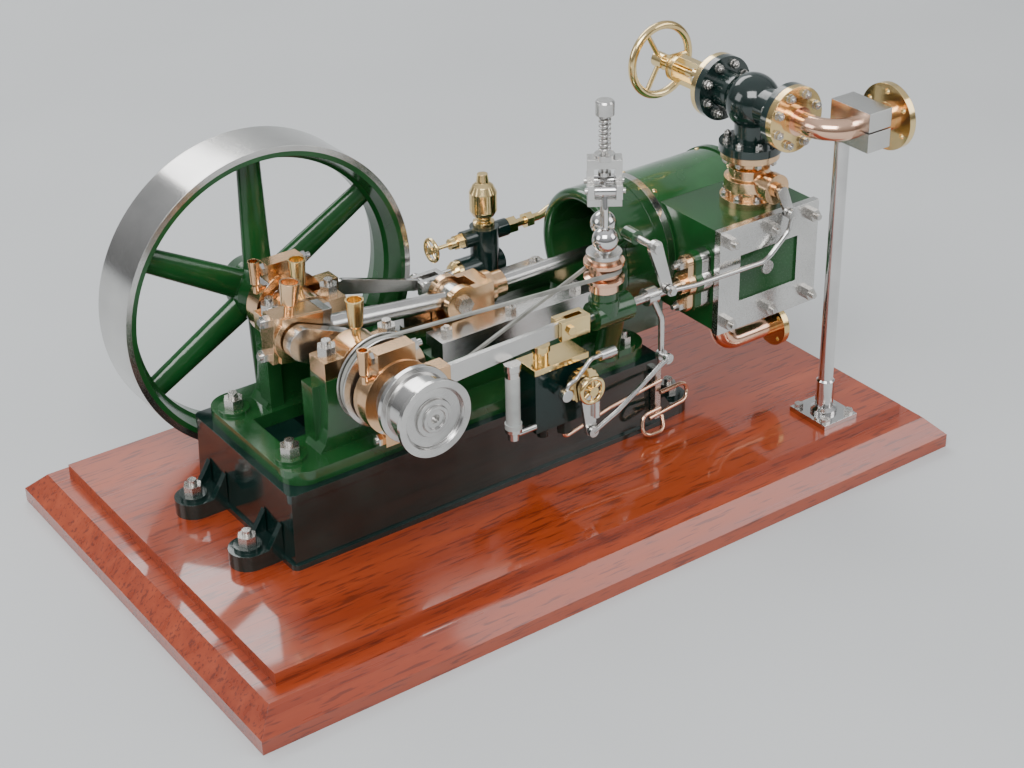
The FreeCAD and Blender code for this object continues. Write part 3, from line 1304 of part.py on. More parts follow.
def make_linkage(bracket_arm):
    """Shaft and lever worked by the governor, a bent flat rod and the butterfly lever."""
    holder = fuse(bracket_arm, cylinder("4", "9", (LEVER_TOP[0], "engine_y - 62", LEVER_TOP[1]), "y"))
    clear = cut(holder, cylinder("2.05", "30", (LEVER_TOP[0], "engine_y - 75", LEVER_TOP[1]), "y"))
    bed = nodes.pop("engine_bed")
    bed.Label = "BedCasting"
    node("engine_bed", fuse(bed, clear))

    arm = lever(LEVER_TOP, LEVER_END, "4.2", "3", "2.6", f"{THROTTLE_Y} + 3")
    shaft = cylinder("2", "24", (LEVER_TOP[0], f"{THROTTLE_Y} + 1.7", LEVER_TOP[1]), "y")
    nut = hexagon("5", "2", (LEVER_TOP[0], f"{THROTTLE_Y} - 0.3", LEVER_TOP[1]), "y")
    hole = cylinder("1.2", "10", (LEVER_END[0], f"{THROTTLE_Y} - 4", LEVER_END[1]), "y")
    node("governor_lever", cut(fuse(arm, shaft, nut), hole))

    x_1, z_1 = LEVER_END
    x_2, z_2 = BUTTERFLY_END
    bent = pipe(
        [
            (x_1, THROTTLE_Y, z_1),
            (f"{x_1} + 16", THROTTLE_Y, f"{z_1} - 2"),
            (f"{x_2} - 18", THROTTLE_Y, f"{z_1} - 3"),
            (f"{x_2} - 2", THROTTLE_Y, f"{z_2} - 9"),
            (x_2, THROTTLE_Y, f"{z_2} - 1.5"),
        ],
        "1.5",
        ["20", "14", "6"],
    )
    eye_1 = cylinder("3", "2.4", (x_1, f"{THROTTLE_Y} - 1.2", z_1), "y")
    eye_2 = cylinder("3", "2.4", (x_2, f"{THROTTLE_Y} - 1.2", z_2), "y")
    pin = cylinder("1.15", "5.4", (x_1, f"{THROTTLE_Y} - 1.8", z_1), "y")
    cap = hexagon("4", "1.6", (x_1, f"{THROTTLE_Y} - 2.8", z_1), "y")
    node("throttle_rod", fuse(bent, eye_1, eye_2, pin, cap))

    arm = lever(BUTTERFLY, BUTTERFLY_END, "3.4", "2.8", "2", f"{THROTTLE_Y} + 2.6")
    spindle = cylinder("2", "14", (BUTTERFLY[0], f"{THROTTLE_Y} + 1.6", BUTTERFLY[1]), "y")
    node("throttle_lever", fuse(arm, spindle))


# ---- mechanical lubricator ----

BOX_LEFT, BOX_RIGHT = "-16", "17"
BOX_NEAR = "-66"
RATCHET = ("11", "88")
RATCHET_END = ("13.6", "60.4")


def make_lubricator():
    """Oil box on the side of the base: lid, filler, sight glass, ratchet and hand wheel."""
    far = "engine_y - base_width / 2"
    case = between(BOX_LEFT, BOX_RIGHT, BOX_NEAR, far, "64", "100")
    lid = between(f"{BOX_LEFT} - 1", f"{BOX_RIGHT} + 1.4", f"{BOX_NEAR} - 1", f"{far} - 0.4", "100", "103.4")
    filler = turned(
        [("0", "0"), ("0", "4.2"), ("5", "4.2"), ("5", "5.2"), ("8.4", "5.2"), ("8.4", "0")],
        ("-6", "-57", "103.4"),
    )
    plug = hexagon("7", "8", ("6", "-61", "56"), "z")
    drip = cylinder("3", "8", ("-6", "-58", "56"), "z")
    post = cylinder("2.2", "3", (RATCHET[0], f"{BOX_NEAR} - 3", RATCHET[1]), "y")
    pawl_post = cylinder("3", "3", ("-3", f"{BOX_NEAR} - 3", "88"), "y")
    node("lubricator", fuse(case, lid, filler, plug, drip, post, pawl_post))

    x, y = "-30", "-65"
    glass = cylinder("4", "32", (x, y, "76"), "z")
    caps = [cylinder("4.7", "5", (x, y, "71"), "z"), cylinder("4.7", "4", (x, y, "108"), "z"), cylinder("3", "6", (x, y, "66"), "z")]
    arm = cylinder("2", "14.4", ("-30.4", y, "68.6"), "x")
    node("sight_glass", fuse(glass, arm, *caps))

    low = f"{BOX_NEAR} - 16.2"
    teeth = []
    for number in range(18):
        turn = number * 20.0
        tooth = hexagon("3.4", "3.4", (f"{RATCHET[0]} + 8.2 * cos({turn})", f"{low} + 9.4", f"{RATCHET[1]} + 8.2 * sin({turn})"), "y")
        teeth.append(tooth)
    disc = cylinder("8.6", "3.4", (RATCHET[0], f"{low} + 9.4", RATCHET[1]), "y")
    axle = cylinder("2", "10", (RATCHET[0], f"{low} + 0.6", RATCHET[1]), "y")
    rim = torus("7", "1.3", (RATCHET[0], f"{low} + 2.4", RATCHET[1]), "y")
    hub = cylinder("2.8", "3.6", (RATCHET[0], f"{low} + 0.4", RATCHET[1]), "y")
    spokes = []
    for number in range(3):
        bar = cylinder("0.9", "14", ORIGIN)
        turn = Rotation(Vector(0, 1, 0), number * 60.0)
        spot = (
            f"{RATCHET[0]} - 7 * sin({number * 60.0})",
            f"{low} + 2.4",
            f"{RATCHET[1]} - 7 * cos({number * 60.0})",
        )
        spokes.append(move(bar, spot, turn))
    node("ratchet_wheel", fuse(disc, axle, rim, hub, *teeth, *spokes))

    swing = lever(RATCHET, RATCHET_END, "5", "3.2", "2.4", f"{low} + 7.4")
    hole = cylinder("2.2", "20", (RATCHET[0], f"{low} - 1", RATCHET[1]), "y")
    box_spring = cylinder("2", "10", ("15.8", f"{low} + 5", "69"), "z")
    node("ratchet_lever", fuse(cut(swing, hole), box_spring))

    weight = cylinder("3", "10", ("18.4", f"{low} + 6", "105"), "x")
    bent = pipe(
        [("-3", f"{low} + 7", "88"), ("-1.5", f"{low} + 7", "93.5"), ("4", f"{low} + 6.6", "95.5"), ("13", f"{low} + 6", "105"), ("19", f"{low} + 6", "105")],
        "1.2",
        ["3", "4", "4"],
    )
    eye = cylinder("3.4", "4", ("-3", f"{low} + 5", "88"), "y")
    node("pawl_lever", fuse(weight, bent, eye))

    rod_y = f"{low} + 4.6"
    start, end = (RATCHET_END[0], rod_y, RATCHET_END[1]), ("69", "valve_y - 12.6", "84.4")
    link = pipe([start, ("30", rod_y, "67.5"), ("64", "valve_y - 12.6", "82.2"), end], "1.4", ["20", "8"])
    eyes = [
        cylinder("3", "2", (start[0], f"{rod_y} - 1", start[2]), "y"),
        cylinder("3", "2", (end[0], "valve_y - 13.6", end[2]), "y"),
    ]
    hole = cylinder("1.5", "3", (end[0], "valve_y - 14.2", end[2]), "y")
    node("lubricator_link", cut(fuse(link, *eyes), hole))


def make_oil_pipes():
    """Copper drain and oil pipes with the steel clip that holds them to the base."""
    near = "engine_y - base_width / 2"
    runs = [
        pipe([("6", "-61", "56"), ("6", "-61", "51.5"), ("40", "-57", "56"), ("78", "-55.6", "60")], "1.2", ["3", "20"]),
        pipe(
            [("78", "-55.6", "52"), ("96", "-52", "50"), ("106", "-49", "45"), ("98", "-53", "39"), ("70", "-56", "38")],
            "1.2",
            ["10", "5", "6"],
        ),
        pipe(
            [("78", "-55.6", "42"), ("64", "-57", "42"), ("62", "-60", "30"), ("76", "-62", "31"), ("79", "-56", "37")],
            "1.2",
            ["5", "5", "5"],
        ),
    ]
    bar = between("76", "80", "-53.6", near, "34", "66")
    node("oil_pipes", group(*runs))
    return bar


# ---- fixed nuts ----

def make_nuts(pipe_clip):
    """Hexagon nuts and studs that hold the fixed castings together."""
    nuts = [pipe_clip]
    for end, side, y in LUGS:
        x = lug_spot(end, side, y)[0]
        nuts.append(stud("9", "5.4", "3", (x, y, "plinth_top + lug_height + 2")))
    for x in ("base_left + 14", "base_right - 16"):
        for y in ("engine_y - lug_pitch / 2", "engine_y + lug_pitch / 2"):
            if x == "base_left + 14":
                nuts.append(stud("9.6", "5.6", "3", (x, y, "base_top + bed_flange + 2")))
    for y in (NEAR, FAR):
        for sign in ("-", "+"):
            nuts.append(stud("9", "6", "3", (f"crank_x {sign} stud_offset", y, "crank_z + 10")))
    for x in ("table_left + 9", "4", "48"):
        for y in ("engine_y - 19", "engine_y + 19"):
            nuts.append(stud("6", "3.4", "1.4", (x, y, "table_top + bar_rise + bar_thick")))
    plate_face = "chest_face - cover_thick"
    for x in ("chest_left + 5", "chest_right - 5"):
        for z in ("chest_low + 6", "chest_high - 6"):
            nuts.append(stud("6.4", "4.4", "3", (x, plate_face, z), "y", -1))
    for z in ("chest_low + 6", "chest_high - 6"):
        nuts.append(stud("6.4", "4.4", "3", ("(chest_left + chest_right) / 2", plate_face, z), "y", -1))
    for z in ("crank_z - 12.4", "crank_z + 12.4"):
        nuts.append(stud("5.6", "4", "3", ("chest_left - 16.6", "valve_y", z), "x", -1))
    nuts.append(stud("7", "4.6", "3", ("63", "engine_y - 44", "base_top + bed_flange + 4")))
    for x in ("pillar_x - 9", "pillar_x + 9"):
        for y in ("pillar_y - 11", "pillar_y + 11"):
            nuts.append(hexagon("4.6", "2.4", (x, y, "plinth_top + 3"), "z"))
    node("hex_nuts", group(*nuts))


def main():
    make_plinth()
    make_base()
    bracket_arm = make_bed()
    make_bearings()
    make_crankshaft()
    make_flywheel()
    make_pulleys()
    make_rod()
    make_crosshead()
    make_slide_bars()
    make_cylinder()
    make_glands()
    make_throttle()
    make_stop_valve()
    make_steam_pipe()
    make_exhaust()
    make_valve_gear()
    make_pump()
    make_governor()
    make_belt()
    make_linkage(bracket_arm)
    make_lubricator()
    pipe_clip = make_oil_pipes()
    make_nuts(pipe_clip)
    document.recompute()
    check_and_write()


def check_and_write():
    """Stop on anything that failed, then write one STEP file for each sub-part."""
    failed = [thing.Name for thing in document.Objects if {"Invalid", "Error"} & set(thing.State)]
    if failed:
        raise RuntimeError(f"these features failed: {failed}")
    os.makedirs("parts", exist_ok=True)
    for label, piece in nodes.items():
        shape = piece.Shape
        if shape.isNull() or not shape.isValid() or shape.Volume <= 0:
            raise RuntimeError(f"{label} has no valid solid")
        if label not in GROUPS and len(shape.Solids) != 1:
            raise RuntimeError(f"{label} is in {len(shape.Solids)} pieces")
        shape.exportStep(f"parts/{label}.step")


GROUPS = {"crankshaft", "hex_nuts", "slide_bars", "glands", "oil_pipes", "pump_fittings"}

main()
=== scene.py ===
import json
import math
import random
import bmesh
import bpy
from mathutils import Matrix, Quaternion, Vector

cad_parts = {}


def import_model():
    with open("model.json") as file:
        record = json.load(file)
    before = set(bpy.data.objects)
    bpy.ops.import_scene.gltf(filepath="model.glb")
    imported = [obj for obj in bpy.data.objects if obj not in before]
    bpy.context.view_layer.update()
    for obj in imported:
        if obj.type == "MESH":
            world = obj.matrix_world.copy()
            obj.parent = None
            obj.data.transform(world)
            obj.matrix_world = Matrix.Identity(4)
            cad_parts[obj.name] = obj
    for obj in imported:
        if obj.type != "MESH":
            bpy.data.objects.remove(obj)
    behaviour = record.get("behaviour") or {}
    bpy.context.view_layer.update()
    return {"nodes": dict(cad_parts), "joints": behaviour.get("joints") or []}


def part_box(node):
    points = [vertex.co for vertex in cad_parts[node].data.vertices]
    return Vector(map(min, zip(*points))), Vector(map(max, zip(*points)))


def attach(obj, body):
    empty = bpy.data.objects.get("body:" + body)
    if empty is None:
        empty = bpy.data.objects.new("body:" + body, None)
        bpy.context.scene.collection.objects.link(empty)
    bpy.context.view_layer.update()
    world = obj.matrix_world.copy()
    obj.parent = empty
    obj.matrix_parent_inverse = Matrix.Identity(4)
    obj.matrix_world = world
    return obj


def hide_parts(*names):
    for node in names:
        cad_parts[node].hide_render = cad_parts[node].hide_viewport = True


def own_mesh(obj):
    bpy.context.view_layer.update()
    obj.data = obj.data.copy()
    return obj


# Model mill engine.  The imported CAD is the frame; this script gives it its paints, metals and
# mahogany, and adds the small fastenings, the coil spring, the floor, the lights and the camera.
# Metres throughout: +X from the crank to the cylinder, +Z up.

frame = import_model()
random.seed(7)
MM = 0.001
NODES = frame["nodes"]
HINGES = {joint["name"]: joint for joint in frame["joints"]}
SHAFT = Vector(HINGES["crank_turn"]["pos_m"])
VALVE_AXIS = Vector(HINGES["handwheel_turn"]["pos_m"])
AXES = {"x": Vector((1, 0, 0)), "y": Vector((0, 1, 0)), "z": Vector((0, 0, 1))}


# ---- node helpers ----

class Shader:
    """A material with a principled shader and short calls for its nodes."""

    def __init__(self, name, roughness=0.4, metallic=0.0, **sockets):
        self.material = bpy.data.materials.new(name)
        self.material.use_nodes = True
        self.tree = self.material.node_tree
        self.shader = self.tree.nodes["Principled BSDF"]
        self.shader.inputs["Roughness"].default_value = roughness
        self.shader.inputs["Metallic"].default_value = metallic
        for socket, value in sockets.items():
            self.shader.inputs[socket.replace("_", " ")].default_value = value
        self.place = self.node("ShaderNodeTexCoord").outputs["Object"]

    def node(self, kind, **values):
        made = self.tree.nodes.new(kind)
        for name, value in values.items():
            setattr(made, name, value)
        return made

    def link(self, source, target):
        self.tree.links.new(source, target)

    def stretched(self, scale):
        mapping = self.node("ShaderNodeMapping")
        mapping.inputs["Scale"].default_value = scale
        self.link(self.place, mapping.inputs["Vector"])
        return mapping.outputs["Vector"]

    def noise(self, scale, detail=3.0, stretch=(1, 1, 1), distortion=0.0):
        made = self.node("ShaderNodeTexNoise")
        made.inputs["Scale"].default_value = scale
        made.inputs["Detail"].default_value = detail
        made.inputs["Distortion"].default_value = distortion
        self.link(self.stretched(stretch), made.inputs["Vector"])
        return made.outputs["Fac"]

    def ramp(self, source, *stops):
        made = self.node("ShaderNodeValToRGB")
        elements = made.color_ramp.elements
        while len(elements) < len(stops):
            elements.new(0.5)
        for element, (spot, color) in zip(elements, stops):
            element.position = spot
            element.color = (*color, 1)
        self.link(source, made.inputs["Fac"])
        return made.outputs["Color"]

    def span(self, source, low, high, from_low=0.0, from_high=1.0):
        made = self.node("ShaderNodeMapRange")
        limits = {"From Min": from_low, "From Max": from_high, "To Min": low, "To Max": high}
        for socket, value in limits.items():
            made.inputs[socket].default_value = value
        self.link(source, made.inputs["Value"])
        return made.outputs["Result"]

    def math(self, operation, first, second=None):
        made = self.node("ShaderNodeMath", operation=operation)
        for socket, value in zip(made.inputs, (first, second)):
            if value is None:
                continue
            if isinstance(value, (int, float)):
                socket.default_value = value
            else:
                self.link(value, socket)
        return made.outputs["Value"]

    def blend(self, amount, first, second):
        made = self.node("ShaderNodeMix", data_type="RGBA")
        if isinstance(amount, float):
            made.inputs["Factor"].default_value = amount
        else:
            self.link(amount, made.inputs["Factor"])
        for socket, value in ((made.inputs["A"], first), (made.inputs["B"], second)):
            if isinstance(value, tuple):
                socket.default_value = (*value, 1)
            else:
                self.link(value, socket)
        return made.outputs["Result"]

    def color(self, source):
        self.link(source, self.shader.inputs["Base Color"])

    def rough(self, source):
        self.link(source, self.shader.inputs["Roughness"])

    def bump(self, height, strength, distance):
        """Surface relief on top of softly rounded edges."""
        edge = self.node("ShaderNodeBevel", samples=4)
        edge.inputs["Radius"].default_value = 0.35 * MM
        made = self.node("ShaderNodeBump")
        made.inputs["Strength"].default_value = strength
        made.inputs["Distance"].default_value = distance
        self.link(height, made.inputs["Height"])
        self.link(edge.outputs["Normal"], made.inputs["Normal"])
        self.link(made.outputs["Normal"], self.shader.inputs["Normal"])


# ---- materials ----

def paint(name, base, roughness=0.16):
    """Brushed-on gloss enamel over a casting: slightly uneven, dusty and orange-peeled."""
    made = Shader(name, roughness, Coat_Weight=0.6, Coat_Roughness=0.08)
    cloud = made.noise(28, 4)
    dark = tuple(channel * 0.72 for channel in base)
    light = tuple(min(1, channel * 1.22 + 0.004) for channel in base)
    tone = made.ramp(cloud, (0.32, dark), (0.68, light))
    made.color(tone)
    made.rough(made.span(made.noise(90, 3), roughness - 0.04, roughness + 0.1, 0.35, 0.7))
    made.bump(made.noise(420, 2), 0.12, 0.25 * MM)
    return made.material


def steel(name, base=(0.63, 0.62, 0.60), roughness=0.24, grain=(1, 1, 1), scale=1400):
    """Turned, ground or draw-filed steel with fine tool marks and faint staining."""
    made = Shader(name, roughness, 1.0)
    lines = made.noise(scale, 2, grain)
    cloud = made.noise(45, 4)
    stained = tuple(channel * 0.84 for channel in base)
    made.color(made.ramp(cloud, (0.3, stained), (0.62, base)))
    made.rough(made.span(lines, roughness - 0.02, roughness + 0.03, 0.3, 0.7))
    made.bump(lines, 0.03, 0.006 * MM)
    return made.material


def yellow_metal(name, base, deep, roughness=0.2, grain=(1, 1, 1), scale=1300):
    """Brass, gunmetal or copper: polished, with warmer patches where it has tarnished."""
    made = Shader(name, roughness, 1.0)
    cloud = made.noise(48, 4, distortion=0.3)
    lines = made.noise(scale, 2, grain)
    made.color(made.ramp(cloud, (0.2, deep), (0.62, base)))
    made.rough(made.span(lines, roughness - 0.04, roughness + 0.07, 0.3, 0.7))
    made.bump(lines, 0.05, 0.012 * MM)
    return made.material


def mahogany():
    """French-polished mahogany: soft ribbon figure, fine short pores and a thick clear coat."""
    made = Shader("mahogany", 0.3, Coat_Weight=0.9, Coat_Roughness=0.06)
    figure = made.noise(3.2, 5, (0.45, 5.5, 5.5), 0.9)
    ribbon = made.noise(22, 4, (0.16, 5.0, 5.0), 0.2)
    pores = made.noise(620, 2, (0.09, 1.0, 1.0))
    broad = made.ramp(
        figure, (0.26, (0.20, 0.022, 0.005)), (0.52, (0.31, 0.040, 0.008)), (0.78, (0.44, 0.075, 0.016))
    )
    streak = made.ramp(ribbon, (0.32, (0.18, 0.021, 0.005)), (0.68, (0.41, 0.066, 0.014)))
    wood = made.blend(0.4, broad, streak)
    made.color(made.blend(made.span(pores, 0.7, 0.0, 0.36, 0.44), wood, (0.10, 0.012, 0.004)))
    made.rough(made.span(ribbon, 0.24, 0.4, 0.3, 0.7))
    made.bump(pores, 0.14, 0.06 * MM)
    return made.material


def webbing():
    """Woven flat belt, pale and slightly soiled."""
    made = Shader("belt_webbing", 0.78)
    weave = made.noise(1500, 1)
    soil = made.noise(70, 3)
    made.color(made.ramp(soil, (0.35, (0.20, 0.20, 0.18)), (0.7, (0.38, 0.38, 0.35))))
    made.bump(weave, 0.6, 0.15 * MM)
    return made.material


def distance_from(made, centre, axis):
    """Distance from an axis, to keep a paint line on a turned face."""
    shift = made.node("ShaderNodeVectorMath", operation="SUBTRACT")
    made.link(made.place, shift.inputs[0])
    shift.inputs[1].default_value = centre
    flat = made.node("ShaderNodeVectorMath", operation="MULTIPLY")
    made.link(shift.outputs["Vector"], flat.inputs[0])
    flat.inputs[1].default_value = Vector((1, 1, 1)) - AXES[axis]
    length = made.node("ShaderNodeVectorMath", operation="LENGTH")
    made.link(flat.outputs["Vector"], length.inputs[0])
    return length.outputs["Value"]


def paint_look(base):
    return {"dark": tuple(c * 0.72 for c in base), "light": tuple(c * 1.2 for c in base), "metal": 0.0}


def metal_look(base, deep=None):
    return {"dark": deep or tuple(c * 0.84 for c in base), "light": base, "metal": 1.0}


def masked(name, first, second, mask_of, roughness=0.18):
    """One casting in two finishes: where the mask is 1, the second look takes over from the first."""
    made = Shader(name, roughness, first["metal"])
    mask = mask_of(made)
    cloud = made.noise(34, 4)
    lines = made.noise(1400, 2)
    tones = [made.ramp(cloud, (0.28, look["dark"]), (0.66, look["light"])) for look in (first, second)]
    made.color(made.blend(mask, *tones))
    if first["metal"] != second["metal"]:
        made.link(made.span(mask, first["metal"], second["metal"]), made.shader.inputs["Metallic"])
    made.rough(made.span(lines, roughness - 0.05, roughness + 0.08, 0.3, 0.7))
    made.bump(lines, 0.05, 0.014 * MM)
    return made.material


def beyond(made, axis, limit, sign=1):
    """1 where the coordinate along an axis is past a limit, 0 before it."""
    split = made.node("ShaderNodeSeparateXYZ")
    made.link(made.place, split.inputs[0])
    value = split.outputs[axis.upper()]
    return made.math("GREATER_THAN" if sign > 0 else "LESS_THAN", value, limit)


def both(made, *masks):
    total = masks[0]
    for mask in masks[1:]:
        total = made.math("MULTIPLY", total, mask)
    return total


def either(made, *masks):
    total = masks[0]
    for mask in masks[1:]:
        total = made.math("MAXIMUM", total, mask)
    return total


GREEN = (0.009, 0.066, 0.015)
DARK_GREEN = (0.0035, 0.017, 0.014)
BRIGHT = (0.66, 0.65, 0.63)
wood = mahogany()
green = paint("green_enamel", GREEN)
dark = paint("dark_green_enamel", DARK_GREEN, 0.13)
jacket = paint("lagging_enamel", (0.020, 0.115, 0.030), 0.2)
ground = steel("ground_steel", BRIGHT)
drawn = steel("draw_filed_steel", BRIGHT, 0.24, (0.3, 1, 1), 1100)
upright = steel("polished_round_bar", (0.7, 0.69, 0.68), 0.12, (1, 1, 0.1), 1000)
nuts = steel("nut_steel", (0.58, 0.56, 0.53), 0.27)
GUNMETAL, GUNMETAL_DEEP = (0.84, 0.57, 0.34), (0.66, 0.40, 0.22)
BRASS, BRASS_DEEP = (0.90, 0.70, 0.36), (0.76, 0.54, 0.24)
COPPER, COPPER_DEEP = (0.92, 0.60, 0.43), (0.76, 0.42, 0.27)
gunmetal = yellow_metal("gunmetal", GUNMETAL, GUNMETAL_DEEP, 0.2)
brass = yellow_metal("polished_brass", BRASS, BRASS_DEEP, 0.14)
copper = yellow_metal("polished_copper", COPPER, COPPER_DEEP, 0.15)
chrome = steel("polished_ball", (0.74, 0.73, 0.72), 0.08)


def turned_ring(name, centre, axis):
    """Steel with concentric tool marks about an axis."""
    made = Shader(name, 0.2, 1.0)
    radius = distance_from(made, centre, axis)
    marks = made.math("SINE", made.math("MULTIPLY", radius, 9000.0))
    uneven = made.noise(160, 3)
    made.color(made.ramp(made.noise(40, 4), (0.3, (0.48, 0.47, 0.46)), (0.62, BRIGHT)))
    made.rough(made.span(made.math("MULTIPLY", marks, uneven), 0.14, 0.36, -0.6, 0.6))
    made.bump(marks, 0.06, 0.05 * MM)
    return made.material


RIM_PAINT_LINE = 84.7 * MM


def wheel_mask(made):
    radius = distance_from(made, SHAFT, "y")
    return made.math("GREATER_THAN", radius, RIM_PAINT_LINE)


wheel = masked("flywheel_finish", paint_look(GREEN), metal_look(BRIGHT), wheel_mask, 0.16)


def cup_mask(low):
    return lambda made: beyond(made, "z", low)


def panel_mask(made):
    """The green recess in the steam chest cover, round its bright centre plug."""
    low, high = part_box("steam_chest_cover")
    inset = 14.9 * MM
    middle_x, middle_z = (low.x + high.x) / 2, (low.z + high.z) / 2
    inside = both(
        made,
        beyond(made, "x", low.x + inset),
        beyond(made, "x", high.x - inset, -1),
        beyond(made, "z", low.z + inset + 2 * MM),
        beyond(made, "z", high.z - inset - 3 * MM, -1),
        beyond(made, "y", low.y + 0.3 * MM),
    )
    plug = distance_from(made, Vector((middle_x, 0, middle_z)), "y")
    return both(made, inside, made.math("GREATER_THAN", plug, 4.1 * MM))


def inlet_mask(made):
    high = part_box("steam_pipe")[1]
    return either(made, beyond(made, "x", high.x - 4.3 * MM), beyond(made, "y", high.y - 4.3 * MM))


def exhaust_mask(made):
    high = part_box("exhaust_pipe")[1]
    return either(made, beyond(made, "x", high.x - 4.3 * MM), beyond(made, "z", high.z - 4.3 * MM))


def flange_mask(made):
    lagging_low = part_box("lagging")[0]
    radius = distance_from(made, Vector((0, SHAFT.y, SHAFT.z)), "x")
    return both(
        made,
        beyond(made, "x", lagging_low.x + 0.2 * MM, -1),
        beyond(made, "x", lagging_low.x - 6 * MM),
        made.math("GREATER_THAN", radius, 30 * MM),
    )


def strap_mask(made):
    """Steel bolts through the strap's gunmetal lugs, above and below."""
    far = made.math("GREATER_THAN", made.math("ABSOLUTE", shifted(made, "x", SHAFT.x)), 11.05 * MM)
    high = made.math("GREATER_THAN", made.math("ABSOLUTE", shifted(made, "z", SHAFT.z)), 18 * MM)
    cup = made.math("LESS_THAN", made.math("ABSOLUTE", shifted(made, "x", SHAFT.x - 16.6 * MM)), 3.4 * MM)
    below = beyond(made, "z", SHAFT.z, -1)
    return both(made, far, high, made.math("MAXIMUM", made.math("SUBTRACT", 1.0, cup), below))


def shifted(made, axis, centre):
    split = made.node("ShaderNodeSeparateXYZ")
    made.link(made.place, split.inputs[0])
    return made.math("SUBTRACT", split.outputs[axis.upper()], centre)


def cap_mask(made):
    """The steel caps at both ends of the sight glass."""
    low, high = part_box("sight_glass")
    return either(made, beyond(made, "z", low.z + 7 * MM, -1), beyond(made, "z", high.z - 8 * MM))


OIL = {"dark": (0.24, 0.26, 0.25), "light": (0.50, 0.52, 0.50), "metal": 0.0}
sight = masked("sight_glass_finish", OIL, metal_look(BRIGHT), cap_mask, 0.1)
bearing_metal = masked(
    "bearing_gunmetal",
    metal_look(GUNMETAL, GUNMETAL_DEEP),
    metal_look(BRASS, BRASS_DEEP),
    cup_mask(SHAFT.z + 16.3 * MM),
)
strap_metal = masked("strap_gunmetal", metal_look(GUNMETAL, GUNMETAL_DEEP), metal_look(BRIGHT), strap_mask)
chest_cover = masked("chest_cover", metal_look(BRIGHT), paint_look(GREEN), panel_mask, 0.22)
COPPER_LOOK, BRASS_LOOK = metal_look(COPPER, COPPER_DEEP), metal_look(BRASS, BRASS_DEEP)
inlet_metal = masked("inlet_copper", COPPER_LOOK, BRASS_LOOK, inlet_mask, 0.14)
exhaust_metal = masked("exhaust_copper", COPPER_LOOK, BRASS_LOOK, exhaust_mask, 0.16)
cylinder_finish = masked("cylinder_finish", paint_look(GREEN), metal_look(BRIGHT), flange_mask, 0.16)
LUBRICATOR_LID = 99.9 * MM
lubricator_finish = masked(
    "lubricator_finish", paint_look(DARK_GREEN), BRASS_LOOK, cup_mask(LUBRICATOR_LID), 0.14
)
pulley_steel = turned_ring("turned_pulley", SHAFT, "y")

FINISH = {
    "plinth": wood,
    "sub_base": dark,
    "engine_bed": green,
    "cylinder": cylinder_finish,
    "lagging": jacket,
    "governor_bracket": green,
    "stop_valve_body": dark,
    "pump_body": dark,
    "lubricator": lubricator_finish,
    "flywheel": wheel,
    "output_pulley": pulley_steel,
    "governor_drive_pulley": pulley_steel,
    "crankshaft": ground,
    "crankpin": ground,
    "connecting_rod": drawn,
    "piston_rod": drawn,
    "piston": ground,
    "slide_bars": drawn,
    "slipper": gunmetal,
    "crosshead": gunmetal,
    "crosshead_pin": nuts,
    "big_end": gunmetal,
    "near_bearing": bearing_metal,
    "far_bearing": bearing_metal,
    "valve_strap": strap_metal,
    "pump_strap": strap_metal,
    "valve_eccentric_rod": drawn,
    "pump_rod": drawn,
    "valve_clevis": brass,
    "valve_spindle": drawn,
    "pump_ram": drawn,
    "air_vessel": brass,
    "pump_bypass": brass,
    "pump_fittings": brass,
    "glands": gunmetal,
    "throttle_body": gunmetal,
    "stop_valve_bonnet": brass,
    "stop_valve_handwheel": brass,
    "steam_pipe": inlet_metal,
    "exhaust_pipe": exhaust_metal,
    "pipe_clamp": ground,
    "support_pillar": upright,
    "steam_chest_cover": chest_cover,
    "governor_pulley": copper,
    "governor_yoke": ground,
    "governor_arm_near": chrome,
    "governor_arm_far": chrome,
    "governor_spindle": ground,
    "drive_belt": webbing(),
    "governor_lever": ground,
    "throttle_rod": drawn,
    "throttle_lever": ground,
    "sight_glass": sight,
    "ratchet_wheel": brass,
    "ratchet_lever": ground,
    "pawl_lever": ground,
    "lubricator_link": drawn,
    "oil_pipes": copper,
    "hex_nuts": nuts,
}

for name, material in FINISH.items():
    piece = NODES[name]
    piece.data.materials.clear()
    piece.data.materials.append(material)


# ---- small pieces made in mesh ----

def keep(name, mesh, material, body):
    """Turn a bmesh into an object that rides on a body."""
    data = bpy.data.meshes.new(name)
    bmesh.ops.recalc_face_normals(mesh, faces=mesh.faces)
    mesh.to_mesh(data)
    mesh.free()
    data.materials.append(material)
    for face in data.polygons:
        face.use_smooth = True
    data.set_sharp_from_angle(angle=math.radians(32))
    piece = bpy.data.objects.new(name, data)
    bpy.context.collection.objects.link(piece)
    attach(piece, body)
    return piece


def lathe(mesh, profile, origin, direction, sides=32, phase=0.0):
    """Revolve (distance along, radius) about a direction from an origin."""
    turn = Vector((0, 0, 1)).rotation_difference(direction)
    rings = []
    for along, radius in profile:
        ring = []
        for number in range(sides):
            angle = 2 * math.pi * number / sides + phase
            spot = Vector((radius * math.cos(angle), radius * math.sin(angle), along))
            ring.append(mesh.verts.new(origin + turn @ spot))
        rings.append(ring)
    for low, high in zip(rings, rings[1:]):
        for number in range(sides):
            after = (number + 1) % sides
            mesh.faces.new((low[number], low[after], high[after], high[number]))
    mesh.faces.new(list(reversed(rings[0])))
    mesh.faces.new(rings[-1])


